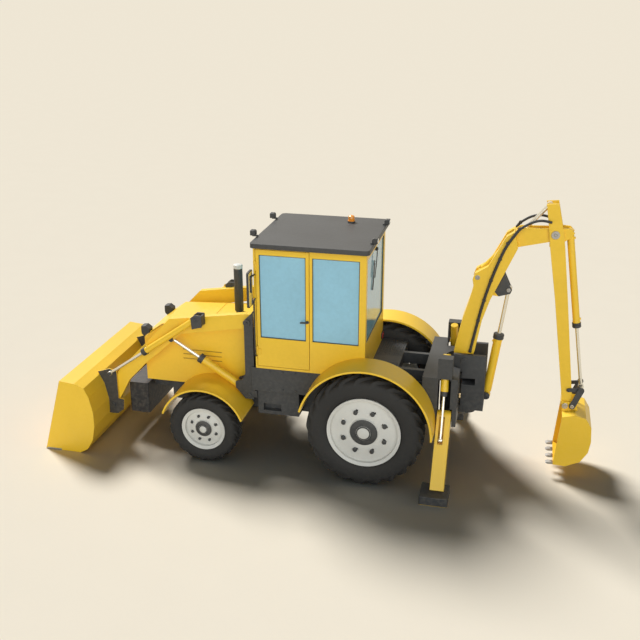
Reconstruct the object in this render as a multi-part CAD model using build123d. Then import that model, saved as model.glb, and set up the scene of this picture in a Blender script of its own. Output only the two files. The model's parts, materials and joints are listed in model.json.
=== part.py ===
"""Backhoe loader: a wheeled tractor with a front loader and a rear backhoe.

Millimetres. X points forward to the loader bucket, Y to the left, Z up.
While it is modelled, X is measured from the rear axle. Each piece is then moved so that
the origin lies on the ground, under the middle of the machine's length.
"""
import os
from math import atan2, cos, degrees, hypot, radians, sin

from build123d import *

# ---- Driving dimensions ----------------------------------------------------------------

WHEELBASE = 2170
CLEAR = 6                      # running clearance beside moving plates
PIN_GAP = 0.3                  # clearance of a seated piece
RUN_GAP = 0.05                 # clearance of a pin in its bore
PIN_SHARE = 0.5                # a cylinder's base pin, of its barrel's radius

# Wheels: tyre radius out to the lug tips, rim radius, tyre width, wheel middle from centre
REAR_TYRE_R = 746
REAR_RIM_R = 470
REAR_TYRE_W = 380
REAR_TRACK_HALF = 902
FRONT_TYRE_R = 477
FRONT_RIM_R = 299
FRONT_TYRE_W = 290
FRONT_TRACK_HALF = 832
LUG_DEPTH_REAR = 36
LUG_DEPTH_FRONT = 24
KINGPIN_HALF = 752             # kingpins from the centre line
KINGPIN_R = 26

# Chassis
RAIL_IN = 300
RAIL_OUT = 370
RAIL_LOW = 600
RAIL_TOP = 878
RAIL_FRONT = 2806
BEAM_HALF = 220                # narrow beam ahead of the rails, to the counterweight
BEAM_FRONT = 3146
BEAM_LOW = 705
AXLE_TUBE_R = 112
FRAME_FRONT = -664             # rear frame, front and rear faces
FRAME_REAR = -1105
FRAME_HALF = 688
FRAME_LOW = 770
FRAME_TOP = 1420
FRAME_WALL = 25
CW_FRONT = 3430                # counterweight
CW_HALF = 450
CW_LOW = 360
CW_TOP = 812
PLATFORM_LOW = 1000
PLATFORM_FRONT = 1560
PLATFORM_HALF = 688

# Cab
CAB_REAR = 65
CAB_FRONT = 1496
CAB_HALF = 691
CAB_LOW = 1326
CAB_TOP = 2959
CAB_WALL = 42
ROOF_REAR = 19
ROOF_FRONT = 1520
ROOF_HALF = 776
ROOF_THICK = 62
WINDOW_LOW = 1755
WINDOW_TOP = 2858
DOOR_PANE_FRONT = 1423
DOOR_PANE_REAR = 826
SIDE_PANE_FRONT = 741
SIDE_PANE_REAR = 148
DOOR_FRONT = 1466
DOOR_REAR = 783
DOOR_LOW = 1362
DOOR_TOP = 2925
DOOR_HINGES = (1560, 2700)      # hinge heights
DOOR_PIN_R = 10
DOOR_PIN_OUT = 11              # hinge axis, out from the cab's side
GLASS = 8

# Hood
HOOD_HALF = 440
HOOD_LOW = 885
HOOD_SKIN = 12
HOOD_NOSE_X = 3146
HOOD_NOSE_Z = 1530
HOOD_BREAK_X = 2880
HOOD_BREAK_Z = 1722
HOOD_SEAM_X = 2255
HOOD_REAR_Z = 1803

# Fenders
REAR_FENDER_R = 835            # inside radius
REAR_FENDER_OUT = 1110
REAR_FENDER_T = 25
FRONT_FENDER_R = 565
FRONT_FENDER_IN = 440
FRONT_FENDER_OUT = 990
FRONT_FENDER_T = 24

# Loader: pivots as (x, z)
ARM_PIVOT = (1615, 1925)
ARM_IN = 530
ARM_OUT = 620
ARM_KNEE_TOP = (2696, 1869)
ARM_KNEE_LOW = (2541, 1672)
TOWER_IN = 490
TOWER_OUT = 660
TOWER_PLATE = 28
TOWER_FOOT = 955
TOWER_REAR = 1535
LIFT_BASE = (1603, 899)
LIFT_EYE = (2690, 1580)
LIFT_Y = 575
LIFT_BARREL_R = 52
LIFT_BARREL_LENGTH = 775
LIFT_ROD_R = 25
TILT_BASE = (2280, 1938)
TILT_EYE = (3575, 1030)
TILT_Y = 692
TILT_BARREL_R = 42
TILT_BARREL_LENGTH = 900
TILT_ROD_R = 19
BUCKET_PIVOT = (3600, 540)
EAR_IN = 627
EAR_OUT = 647
CROSS_TUBE = (3290, 1120)
CROSS_TUBE_R = 60
BUCKET_HALF = 1122
BUCKET_SKIN = 20
BUCKET_TIP_X = 4414

# Backhoe: pivots as (x, z)
SWING_X = -1200
POST_HALF = 243
POST_REAR = -1414
POST_FRONT = -1120
POST_LOW = 810
POST_SHELF = 1345              # the post spreads forward above this height
CHEEK_IN = 192                 # room for the hoses beside the boom
SWING_ROOM = 338               # radius of the frame's bay round the swing axis
SWING_PIN_R = 36
BOOM_PIVOT = (-1140, 1492)
BOOM_HALF = 150
BOOM_PLATE = 26
NOSE_OUT = 74                  # the boom's narrow nose, inside the dipper's fork
NOSE_IN = 50
DIPPER_PIVOT = (-2116, 3178)
DIPPER_HALF = 108
DIPPER_PLATE = 28
BOOM_CYL_BASE = (-1438, 955)
BOOM_CYL_EYE = (-1618, 2425)
BOOM_BARREL_R = 55
BOOM_BARREL_LENGTH = 800
BOOM_ROD_R = 25
DIPPER_CYL_BASE = (-1232, 2590)
DIPPER_CYL_EYE = (-2020, 3520)
DIPPER_BARREL_R = 46
DIPPER_BARREL_LENGTH = 600
DIPPER_ROD_R = 24
BUCKET_CYL_BASE = (-2285, 3205)
BUCKET_CYL_EYE = (-2612, 1192)
BUCKET_BARREL_R = 44
BUCKET_BARREL_LENGTH = 1170
BUCKET_ROD_R = 22
GUIDE_PIVOT = (-2458, 1170)
GUIDE_PIN_R = 14
LINK_PIVOT = (-2522, 962)
DIG_PIVOT = (-2435, 955)
DIG_HALF = 310
DIG_SKIN = 14
DIG_BACK_X = -2790

# Stabilisers: points as (y, z)
LEG_X = -957                   # middle of the leg
LEG_WIDTH = 172
LEG_PIVOT = (645, 890)
LEG_FOOT = (1165, 112)
LEG_DEPTH = 150
STAB_X = -940
STAB_TRUNNION = (598, 1420)
STAB_EYE = (855, 652)
STAB_BARREL_R = 50
STAB_ROD_R = 20
PAD_FRONT = -755
PAD_REAR = -1105
PAD_IN = 1000
PAD_OUT = 1345
PAD_TOP = 112

MIDDLE_X = (BUCKET_TIP_X + DIG_BACK_X) / 2


# ---- Making shapes ---------------------------------------------------------------------

def block(x0, x1, y0, y1, z0, z1):
    """A box between two limits on each axis."""
    return Pos((x0 + x1) / 2, (y0 + y1) / 2, (z0 + z1) / 2) * Box(x1 - x0, y1 - y0, z1 - z0)


def plate(points, y0, y1):
    """A flat plate: an outline of (x, z) points, between two Y planes."""
    face = make_face(Polyline(*points, close=True))
    return extrude(Plane.XZ.offset(-y1) * face, y1 - y0)


def side_plate(points, x0, x1):
    """A flat plate: an outline of (y, z) points, between two X planes."""
    face = make_face(Polyline(*points, close=True))
    return extrude(Plane.YZ.offset(x0) * face, x1 - x0)


def pin_y(point, radius, y0, y1):
    """A round bar along Y at (x, z)."""
    return Pos(point[0], (y0 + y1) / 2, point[1]) * Rot(90, 0, 0) * Cylinder(radius, y1 - y0)


def pin_x(point, radius, x0, x1):
    """A round bar along X at (y, z)."""
    return Pos((x0 + x1) / 2, point[0], point[1]) * Rot(0, 90, 0) * Cylinder(radius, x1 - x0)


def bar(start, end, radius):
    """A round bar between two points in space."""
    run = Vector(*end) - Vector(*start)
    plane = Plane(origin=start, z_dir=run)
    return plane * Cylinder(radius, run.length, align=(Align.CENTER, Align.CENTER, Align.MIN))


def toward(start, end, distance):
    """The point that lies a distance from start, on the line to end, in one plane."""
    run = hypot(end[0] - start[0], end[1] - start[1])
    share = distance / run
    return (start[0] + share * (end[0] - start[0]), start[1] + share * (end[1] - start[1]))


def strap(a, b, radius, y0, y1):
    """A link plate with round ends about two (x, z) points."""
    run = hypot(b[0] - a[0], b[1] - a[1])
    side = (-(b[1] - a[1]) / run * radius, (b[0] - a[0]) / run * radius)
    corners = [(a[0] + side[0], a[1] + side[1]), (b[0] + side[0], b[1] + side[1]),
               (b[0] - side[0], b[1] - side[1]), (a[0] - side[0], a[1] - side[1])]
    return plate(corners, y0, y1) + pin_y(a, radius, y0, y1) + pin_y(b, radius, y0, y1)


def sheet(points, thick, y0, y1):
    """A bent sheet: a chain of (x, z) points, thickened to the left of its run."""
    inner = []
    for i, point in enumerate(points):
        before = points[max(i - 1, 0)]
        here = points[min(i + 1, len(points) - 1)]
        if 0 < i < len(points) - 1:
            a = unit(before, point)
            b = unit(point, here)
        else:
            a = b = unit(before, here)
        bend = 1 + a[0] * b[0] + a[1] * b[1]
        normal = (-(a[1] + b[1]) / bend, (a[0] + b[0]) / bend)
        inner.append((point[0] + thick * normal[0], point[1] + thick * normal[1]))
    return plate(points + inner[::-1], y0, y1)


def unit(a, b):
    """The direction from one point to another."""
    run = hypot(b[0] - a[0], b[1] - a[1])
    return ((b[0] - a[0]) / run, (b[1] - a[1]) / run)


def arch(centre, inside, thick, start, end, y0, y1):
    """A curved band about a (x, z) centre, between two angles from +X towards +Z."""
    outer = pin_y(centre, inside + thick, y0, y1) - pin_y(centre, inside, y0 - 1, y1 + 1)
    reach = 2 * (inside + thick)
    steps = 6
    turn = [radians(start + (end - start) * i / steps) for i in range(steps + 1)]
    rim = [(centre[0] + reach * cos(a), centre[1] + reach * sin(a)) for a in turn]
    return outer & plate([centre] + rim, y0 - 1, y1 + 1)


def turned(points):
    """A body of revolution about the Y axis, from (radius, y) points."""
    face = make_face(Polyline(*points, close=True))
    return revolve(face, Axis.Y, 360)


def both_sides(shape):
    """The shape and its mirror image across the middle plane."""
    return shape + mirror(shape, about=Plane.XZ)


def flip(shape):
    """The mirror image across the middle plane."""
    return mirror(shape, about=Plane.XZ)


def cylinder_barrel(base, eye, y, radius, rod_radius, length, boss):
    """A hydraulic barrel with a base boss and a gland, bored for its rod."""
    start = toward(base, eye, radius * 0.6)
    gland = toward(base, eye, length)
    end = toward(base, eye, length + 70)
    deep = toward(base, eye, radius * 1.6)
    out = toward(base, eye, length + 90)
    body = bar((start[0], y, start[1]), (gland[0], y, gland[1]), radius)
    body += bar((gland[0], y, gland[1]), (end[0], y, end[1]), radius * 1.25)
    body += pin_y(base, radius * 0.95, y - boss, y + boss)
    return body - bar((deep[0], y, deep[1]), (out[0], y, out[1]), rod_radius + PIN_GAP)


def cylinder_rod(base, eye, y, radius, length, boss):
    """A piston rod with its eye, which reaches back into the barrel."""
    inner = toward(eye, base, length)
    body = bar((eye[0], y, eye[1]), (inner[0], y, inner[1]), radius)
    return body + pin_y(eye, radius * 1.6, y - boss, y + boss)


# ---- Wheels ----------------------------------------------------------------------------

def disc_seat(width):
    """How far the disc's inner face lies outside the wheel's middle plane."""
    return width / 2 - 28 - 70 + 14


def rim(rim_r, width):
    """A wheel rim with a dished disc and a hub; +Y is its outer side."""
    half = width / 2 - 28
    seat = rim_r - 26
    ring = turned([(rim_r, half), (rim_r, half - 12), (seat, half - 22), (seat, -half + 22),
                   (rim_r, -half + 12), (rim_r, -half), (seat - 16, -half + 14),
                   (seat - 16, half - 14)])
    disc_y = half - 70
    disc = turned([(seat - 15, disc_y + 12), (rim_r * 0.5, disc_y + 34), (0, disc_y + 34),
                   (0, disc_y + 14), (rim_r * 0.5, disc_y + 14), (seat - 15, disc_y - 8)])
    hub = turned([(0, disc_y + 30), (rim_r * 0.4, disc_y + 30), (rim_r * 0.38, disc_y + 52),
                  (rim_r * 0.21, disc_y + 52), (rim_r * 0.20, half + 6), (0, half + 6)])
    wheel = ring + disc + hub
    slots = 8
    for i in range(slots):
        angle = 360 / slots * (i + 0.5)
        slot = Pos(0, disc_y, rim_r * 0.6) * Rot(0, 40, 0) * Box(rim_r * 0.17, 120, rim_r * 0.06)
        wheel -= Rot(0, angle, 0) * slot
    return wheel


def ring_solid(points, sides):
    """A ring with flat sides about the Y axis, from a closed chain of (radius, y) points."""
    faces = []
    step = radians(360 / sides)
    for i in range(sides):
        a, b = (i - 0.5) * step, (i + 0.5) * step
        for (r0, y0), (r1, y1) in zip(points, points[1:] + points[:1]):
            corners = [(r0 * sin(a), y0, r0 * cos(a)), (r0 * sin(b), y0, r0 * cos(b)),
                       (r1 * sin(b), y1, r1 * cos(b)), (r1 * sin(a), y1, r1 * cos(a))]
            faces.append(Face(Wire.make_polygon(corners, close=True)))
    return Solid(Shell(faces))


def tyre(tyre_r, rim_r, width, lug_depth, lugs):
    """A tractor tyre: a carcass of flat bands with two rows of slanted lugs."""
    half = width / 2
    base = tyre_r - lug_depth
    seat = rim_r - 26
    half_seat = half - 52
    sides = 2 * lugs
    grow = 1 / cos(radians(180 / sides))
    rim_gap = PIN_GAP + 0.2
    carcass = ring_solid([((seat + rim_gap) * grow, half_seat), ((rim_r + rim_gap) * grow, half_seat),
                          (rim_r + (base - rim_r) * 0.4, half), (base - 30, half - 10), (base, half - 46),
                          (base, 46 - half), (base - 30, 10 - half), (rim_r + (base - rim_r) * 0.4, -half),
                          ((rim_r + rim_gap) * grow, -half_seat), ((seat + rim_gap) * grow, -half_seat)], sides)
    thick = tyre_r * 0.075
    for i in range(lugs):
        for side in (1, -1):
            angle = 360 / lugs * (i + (0.5 if side < 0 else 0))
            lug = Pos(0, side * half * 0.5, tyre_r - (lug_depth + 14) / 2)
            lug = lug * Rot(0, 0, side * 24) * Box(thick, half * 0.94, lug_depth + 14)
            carcass += Rot(0, angle, 0) * lug
    return carcass


def wheel_at(shape, x, track_half, radius, side):
    """Places a wheel piece, with its outer side outwards."""
    if side < 0:
        shape = flip(shape)
    return Pos(x, side * track_half, radius) * shape


# ---- Chassis ---------------------------------------------------------------------------

def chassis_frame():
    rail = block(FRAME_FRONT, RAIL_FRONT, RAIL_IN, RAIL_OUT, RAIL_LOW, RAIL_TOP)
    rail -= pin_y((0, REAR_TYRE_R), AXLE_TUBE_R + PIN_GAP, RAIL_IN - 1, RAIL_OUT + 1)
    rails = both_sides(rail)
    for x0, x1 in ((FRAME_FRONT, FRAME_FRONT + 60), (1440, 1560), (RAIL_FRONT - 60, RAIL_FRONT)):
        rails += block(x0, x1, -RAIL_IN, RAIL_IN, RAIL_LOW + 40, RAIL_TOP - 20)
    rails += block(RAIL_FRONT, BEAM_FRONT, -BEAM_HALF, BEAM_HALF, BEAM_LOW, RAIL_TOP)
    bracket = block(TOWER_REAR - 35, TOWER_REAR + 10, RAIL_IN, TOWER_OUT, RAIL_TOP, TOWER_FOOT)
    pivot = block(WHEELBASE - 130, WHEELBASE - 75, -RAIL_IN, RAIL_IN, RAIL_LOW, RAIL_LOW + 120)
    pivot += block(WHEELBASE + 75, WHEELBASE + 130, -RAIL_IN, RAIL_IN, RAIL_LOW, RAIL_LOW + 120)
    saddles = block(WHEELBASE - 130, WHEELBASE - 75, -110, 110, 420, RAIL_LOW)
    saddles += block(WHEELBASE + 75, WHEELBASE + 130, -110, 110, 420, RAIL_LOW)
    return rails + both_sides(bracket) + pivot + saddles


def axles():
    z = FRONT_TYRE_R
    beam = side_plate([(0, z - 75), (200, z - 75), (KINGPIN_HALF - 60, z - 45),
                       (KINGPIN_HALF - 60, z + 45), (200, z + 60), (0, z + 60)],
                      WHEELBASE - 62, WHEELBASE + 62)
    fork = block(WHEELBASE - 48, WHEELBASE + 48, KINGPIN_HALF - 62, KINGPIN_HALF + 36, z + 62, z + 92)
    fork += block(WHEELBASE - 48, WHEELBASE + 48, KINGPIN_HALF - 62, KINGPIN_HALF + 36, z - 92, z - 62)
    fork += block(WHEELBASE - 48, WHEELBASE + 48, KINGPIN_HALF - 92, KINGPIN_HALF - 60, z - 92, z + 92)
    kingpin = Pos(WHEELBASE, KINGPIN_HALF, z) * Cylinder(KINGPIN_R, 182)
    axle = both_sides(beam) + both_sides(fork) + both_sides(kingpin)
    trunnion = Pos(WHEELBASE, 0, 477) * Rot(0, 90, 0) * Cylinder(45, 149)
    return axle + trunnion + rear_axle()


def knuckle():
    z = FRONT_TYRE_R
    hub_y = FRONT_TRACK_HALF + disc_seat(FRONT_TYRE_W) - PIN_GAP
    body = Pos(WHEELBASE, KINGPIN_HALF, z) * Cylinder(48, 2 * (62 - CLEAR))
    body += block(WHEELBASE - 44, WHEELBASE + 44, KINGPIN_HALF, KINGPIN_HALF + 42, z - 44, z + 44)
    body += pin_y((WHEELBASE, z), 40, KINGPIN_HALF + 40, hub_y)
    return body - Pos(WHEELBASE, KINGPIN_HALF, z) * Cylinder(KINGPIN_R + 0.05, 200)


def rear_axle():
    z = REAR_TYRE_R
    tubes = pin_y((0, z), 95, -690, 690) + pin_y((0, z), AXLE_TUBE_R, -470, 470)
    middle = pin_y((0, z), 200, -170, 170)
    flange = both_sides(pin_y((0, z), 120, 690, REAR_TRACK_HALF + disc_seat(REAR_TYRE_W) - PIN_GAP))
    return tubes + middle + flange


def power_train():
    engine = block(2060, 2920, -250, 250, RAIL_TOP, 1560)
    engine += block(2200, 2320, -RAIL_OUT, RAIL_OUT, RAIL_TOP, RAIL_TOP + 40)
    gearbox = block(560, 1400, -240, 240, 560, 980) + block(900, 1000, -RAIL_IN, RAIL_IN, 680, 780)
    shaft = bar((222, 0, REAR_TYRE_R), (562, 0, 760), 45)
    return engine + gearbox + shaft


def counterweight():
    body = side_plate([(-CW_HALF, CW_LOW), (CW_HALF, CW_LOW), (CW_HALF, CW_TOP), (-CW_HALF, CW_TOP)],
                      BEAM_FRONT, CW_FRONT)
    return fillet(body.edges().filter_by(Axis.Z), 24)


def rear_frame():
    """The welded rear frame: a hollow box with a round bay for the swing post."""
    wall = FRAME_WALL
    outer = block(FRAME_REAR, FRAME_FRONT, -FRAME_HALF, FRAME_HALF, FRAME_LOW, FRAME_TOP)
    inside = block(FRAME_REAR + wall, FRAME_FRONT - wall, -FRAME_HALF + wall, FRAME_HALF - wall,
                   FRAME_LOW - 1, FRAME_TOP - wall)
    height = FRAME_TOP - FRAME_LOW
    middle = Pos(SWING_X, 0, FRAME_LOW + height / 2)
    bay_wall = outer & (middle * Cylinder(SWING_ROOM + wall, height))
    frame = (outer - inside) + bay_wall - middle * Cylinder(SWING_ROOM, height + 10)
    reach = SWING_X + SWING_ROOM + wall / 2
    low_lug = block(SWING_X, reach, -110, 110, 700, 800) + Pos(SWING_X, 0, 750) * Cylinder(110, 100)
    top_lug = block(SWING_X, reach, -80, 80, 1170, 1250) + Pos(SWING_X, 0, 1210) * Cylinder(80, 80)
    pins = Pos(SWING_X, 0, 800) * Cylinder(SWING_PIN_R, 180) + Pos(SWING_X, 0, 1210) * Cylinder(SWING_PIN_R, 150)
    frame += low_lug + top_lug + pins
    x0, x1 = LEG_X - LEG_WIDTH / 2, LEG_X + LEG_WIDTH / 2
    notch = block(x0 - 8, x1 + 8, 430, FRAME_HALF + 5, FRAME_LOW - 5, 1010) + pin_x(LEG_PIVOT, 31, x0 - 27, x1 + 27)
    slot = block(STAB_X - 82, STAB_X + 78, 400, FRAME_HALF + 5, 980, FRAME_TOP + 5)
    return frame - both_sides(notch + slot)


def leg_mounts():
    """The lugs that carry the stabiliser legs, and the boxes round their cylinders' trunnions."""
    x0, x1 = LEG_X - LEG_WIDTH / 2, LEG_X + LEG_WIDTH / 2
    ceiling = FRAME_TOP - FRAME_WALL
    lugs = block(x0 - 26, x0 - 8, 440, 660, FRAME_LOW, ceiling) + block(x1 + 8, x1 + 26, 440, 660, FRAME_LOW, ceiling)
    lugs += pin_x(LEG_PIVOT, 28, x0 - 26, x1 + 26)
    box = block(STAB_X - 92, STAB_X + 88, 570, 702, FRAME_TOP, 1692)
    box -= block(STAB_X - 68, STAB_X + 64, 569, 682, FRAME_TOP - 1, 1674)
    for x in (STAB_X - 80, STAB_X + 64):
        box += block(x, x + 12, 571, 681, FRAME_TOP - 28, FRAME_TOP + 1)
    box += pin_x(STAB_TRUNNION, 26, STAB_X - 80, STAB_X - 58 - PIN_GAP)
    box += pin_x(STAB_TRUNNION, 26, STAB_X + 58 + PIN_GAP, STAB_X + 76)
    return both_sides(lugs + box)


def loader_towers():
    x, z = TOWER_REAR, TOWER_FOOT
    low = LIFT_BASE[1] - 50
    outline = [(x - 35, z), (x + 12, z), (x + 12, low), (x + 125, low), (x + 257, z + 45), (x + 257, z + 125),
               (x + 165, z + 165), (x + 121, z + 255), (x + 121, 1950), (x, 2075), (x, z + 20), (x - 35, z + 20)]
    tower = plate(outline, TOWER_IN, TOWER_IN + TOWER_PLATE)
    tower += plate(outline, TOWER_OUT - TOWER_PLATE, TOWER_OUT)
    tower += block(x - 35, x + 12, TOWER_IN, TOWER_OUT, z, z + 20)
    tower += block(x, x + 25, TOWER_IN, TOWER_OUT, z, 1700)
    tower += pin_y(ARM_PIVOT, 34, TOWER_IN - 8, TOWER_OUT + 8)
    tower += pin_y(LIFT_BASE, LIFT_BARREL_R * PIN_SHARE - RUN_GAP, TOWER_IN - 6, TOWER_OUT + 6)
    return both_sides(tower)


def platform():
    floor = block(-300, PLATFORM_FRONT, -PLATFORM_HALF, PLATFORM_HALF, PLATFORM_LOW, CAB_LOW)
    floor -= block(-301, -40, -PLATFORM_HALF - 1, PLATFORM_HALF + 1, PLATFORM_LOW - 1, 1180)
    floor -= block(CAB_FRONT, PLATFORM_FRONT + 1, -HOOD_HALF - 2, HOOD_HALF + 2, PLATFORM_LOW - 1, CAB_LOW + 1)
    bay = block(TOWER_REAR - 10, PLATFORM_FRONT + 1, TOWER_IN - 10, TOWER_OUT + 12, PLATFORM_LOW - 1, CAB_LOW + 1)
    floor -= both_sides(bay)
    tank = block(940, 1495, RAIL_OUT, 640, 650, PLATFORM_LOW)
    tank -= block(1180, 1420, 560, 641, 700, 800)
    post = block(FRAME_FRONT, -300, 240, 300, 1180, 1330)
    return floor + both_sides(tank) + both_sides(post)


# ---- Hood and fenders ------------------------------------------------------------------

def hood_top(x):
    """The height of the hood's top over the flat part."""
    share = (x - CAB_FRONT) / (HOOD_BREAK_X - CAB_FRONT)
    return HOOD_REAR_Z + share * (HOOD_BREAK_Z - HOOD_REAR_Z)


def hood_body():
    """Fixed hood: side panels, grille wall and the rear cowl."""
    t = HOOD_SKIN
    seam_z = hood_top(HOOD_SEAM_X)
    outline = [(CAB_FRONT, HOOD_LOW), (HOOD_NOSE_X, HOOD_LOW), (HOOD_NOSE_X, HOOD_NOSE_Z - 1.3 * t - 8),
               (HOOD_BREAK_X, HOOD_BREAK_Z - t - 8), (HOOD_SEAM_X, seam_z - t - 4),
               (HOOD_SEAM_X, seam_z - t), (CAB_FRONT, HOOD_REAR_Z - t)]
    sides = both_sides(plate(outline, HOOD_HALF - t, HOOD_HALF))
    nose = block(HOOD_NOSE_X - t, HOOD_NOSE_X, -HOOD_HALF, HOOD_HALF, HOOD_LOW, HOOD_NOSE_Z - 22)
    for i in range(9):
        z = HOOD_LOW + 110 + i * 56
        nose -= block(HOOD_NOSE_X - t - 1, HOOD_NOSE_X + 1, -310, 310, z, z + 26)
    cowl = sheet([(HOOD_SEAM_X - 3, seam_z), (CAB_FRONT, HOOD_REAR_Z)], t, -HOOD_HALF, HOOD_HALF)
    cowl -= Pos(1965, -100, 1800) * Cylinder(44 + PIN_GAP, 200)
    x0, x1 = HOOD_SEAM_X - 40, HOOD_SEAM_X + 40
    ledge = [(x0, hood_top(x0) - t), (HOOD_SEAM_X - 3, seam_z - t), (HOOD_SEAM_X - 3, seam_z - t - PIN_GAP),
             (x1, hood_top(x1) - t - PIN_GAP), (x1, hood_top(x1) - t - 10), (x0, hood_top(x0) - t - 10)]
    cowl += plate(ledge, 20 - HOOD_HALF, HOOD_HALF - 20)
    nose += block(HOOD_NOSE_X - t, HOOD_NOSE_X, -BEAM_HALF, BEAM_HALF, RAIL_TOP, HOOD_LOW)
    sides -= block(CAB_FRONT, 1718, -HOOD_HALF - 1, HOOD_HALF + 1, HOOD_LOW - 1, TOWER_FOOT + 8)
    louvres = (1240, 1305, 1370)
    for z in louvres:
        cut = block(2050, 2600, HOOD_HALF - 5, HOOD_HALF + 1, z, z + 14)
        sides -= cut
        sides -= flip(cut)
    return (sides + nose + cowl) - block(CAB_FRONT - 50, CAB_FRONT, -500, 500, HOOD_LOW, HOOD_REAR_Z + 20)


def hood_lid():
    """The top panel and nose slope, hinged at the cross seam."""
    t = HOOD_SKIN
    chain = [(HOOD_NOSE_X, HOOD_NOSE_Z), (HOOD_BREAK_X, HOOD_BREAK_Z),
             (HOOD_SEAM_X + 3, hood_top(HOOD_SEAM_X + 3))]
    lid = sheet(chain, t, -HOOD_HALF, HOOD_HALF)
    for side in (1, -1):
        y0, y1 = sorted((side * 355, side * 463))
        lamp = plate([(3060, 1588), (3140, 1530), (3172, 1560), (3172, 1665), (3112, 1672), (3060, 1632)], y0, y1)
        lid += lamp
    return lid


def exhaust():
    pipe = Pos(1965, -100, 0) * Cylinder(60, 640, align=(Align.CENTER, Align.CENTER, Align.MIN))
    pipe = Pos(0, 0, 1792) * pipe
    stub = Pos(1965, -100, 1600) * Cylinder(44, 200, align=(Align.CENTER, Align.CENTER, Align.MIN))
    cap = Pos(1965, -100, 2432) * Cylinder(50, 26, align=(Align.CENTER, Align.CENTER, Align.MIN))
    return pipe + stub + cap


def front_fenders():
    centre = (WHEELBASE, FRONT_TYRE_R)
    band = arch(centre, FRONT_FENDER_R, FRONT_FENDER_T, 19, 160, FRONT_FENDER_IN, FRONT_FENDER_OUT)
    return both_sides(band)


def rear_fenders():
    centre = (0, REAR_TYRE_R)
    band = arch(centre, REAR_FENDER_R, REAR_FENDER_T, 15, 180, CAB_HALF, REAR_FENDER_OUT)
    return both_sides(band)


# ---- Cab -------------------------------------------------------------------------------

def cab_shell():
    t = CAB_WALL
    cab = block(CAB_REAR, CAB_FRONT, -CAB_HALF, CAB_HALF, CAB_LOW, CAB_TOP)
    cab -= block(CAB_REAR + t, CAB_FRONT - t, -CAB_HALF + t, CAB_HALF - t, CAB_LOW + 30, CAB_TOP + 1)
    door = block(DOOR_REAR - CLEAR, DOOR_FRONT + CLEAR, CAB_HALF - t - 1, CAB_HALF + 1,
                 DOOR_LOW - CLEAR, DOOR_TOP + CLEAR)
    side = block(SIDE_PANE_REAR, SIDE_PANE_FRONT, CAB_HALF - t - 1, CAB_HALF + 1, WINDOW_LOW, WINDOW_TOP)
    for cut in (door, side):
        cab = cab - cut - flip(cut)
    cab -= block(CAB_FRONT - t - 1, CAB_FRONT + 1, -610, 610, 1850, WINDOW_TOP)
    cab -= block(CAB_REAR - 1, CAB_REAR + t + 1, -610, 610, WINDOW_LOW, WINDOW_TOP)
    for z in DOOR_HINGES:
        low, high = z + 40 + PIN_GAP, z + 75
        pin = Pos(DOOR_FRONT, CAB_HALF + DOOR_PIN_OUT, (low + high) / 2) * Cylinder(DOOR_PIN_R, high - low)
        cab += both_sides(pin + block(DOOR_FRONT, CAB_FRONT, CAB_HALF, CAB_HALF + 6, low, high))
    return cab


def cab_glass():
    inset = CAB_WALL / 2
    g = GLASS / 2
    side = block(SIDE_PANE_REAR + PIN_GAP, SIDE_PANE_FRONT - PIN_GAP, CAB_HALF - inset - g,
                 CAB_HALF - inset + g, WINDOW_LOW + PIN_GAP, WINDOW_TOP - PIN_GAP)
    front = block(CAB_FRONT - inset - g, CAB_FRONT - inset + g, -610 + PIN_GAP, 610 - PIN_GAP,
                  1850 + PIN_GAP, WINDOW_TOP - PIN_GAP)
    rear = block(CAB_REAR + inset - g, CAB_REAR + inset + g, -610 + PIN_GAP, 610 - PIN_GAP,
                 WINDOW_LOW + PIN_GAP, WINDOW_TOP - PIN_GAP)
    return both_sides(side) + front + rear


def door():
    t = CAB_WALL
    body = block(DOOR_REAR, DOOR_FRONT, CAB_HALF - t, CAB_HALF, DOOR_LOW, DOOR_TOP)
    body -= block(DOOR_PANE_REAR, DOOR_PANE_FRONT, CAB_HALF - t - 1, CAB_HALF + 1, WINDOW_LOW, WINDOW_TOP)
    for z in DOOR_HINGES:
        body += Pos(DOOR_FRONT, CAB_HALF + DOOR_PIN_OUT, z) * Cylinder(DOOR_PIN_R, 80)
        body += block(DOOR_FRONT - 45, DOOR_FRONT, CAB_HALF, CAB_HALF + 6, z - 40, z + 40)
    return body


def door_glass():
    inset = CAB_WALL / 2
    g = GLASS / 2
    return block(DOOR_PANE_REAR + PIN_GAP, DOOR_PANE_FRONT - PIN_GAP, CAB_HALF - inset - g,
                 CAB_HALF - inset + g, WINDOW_LOW + PIN_GAP, WINDOW_TOP - PIN_GAP)


def cab_roof():
    top = CAB_TOP + ROOF_THICK
    roof = block(ROOF_REAR, ROOF_FRONT, -ROOF_HALF, ROOF_HALF, CAB_TOP, top)
    roof = fillet(roof.edges().filter_by(Axis.Z), 60)
    for x, y in ((1500, 443), (1500, -443), (66, 458), (66, -458)):
        forward = 1 if x > 700 else -1
        x0, x1 = sorted((x - forward * 30, x + forward * 95))
        roof += block(x0, x1, y - 62, y + 62, top, top + 80)
    roof += Pos(495, -499, top) * Cylinder(52, 20, align=(Align.CENTER, Align.CENTER, Align.MIN))
    return roof


def beacon():
    top = CAB_TOP + ROOF_THICK + 20
    lamp = Pos(495, -499, top) * Cylinder(44, 78, align=(Align.CENTER, Align.CENTER, Align.MIN))
    return chamfer(lamp.edges().filter_by(GeomType.CIRCLE).sort_by(Axis.Z)[-1:], 16)


def mirrors():
    glass = block(1500, 1524, 722, 900, 2215, 2680)
    glass = fillet(glass.edges().filter_by(Axis.X), 30)
    arm = bar((1484, CAB_HALF + 1, 2600), (1494, 812, 2600), 11)
    arm += bar((1494, 812, 2400), (1494, 812, 2612), 11)
    return both_sides(glass + arm)


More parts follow.
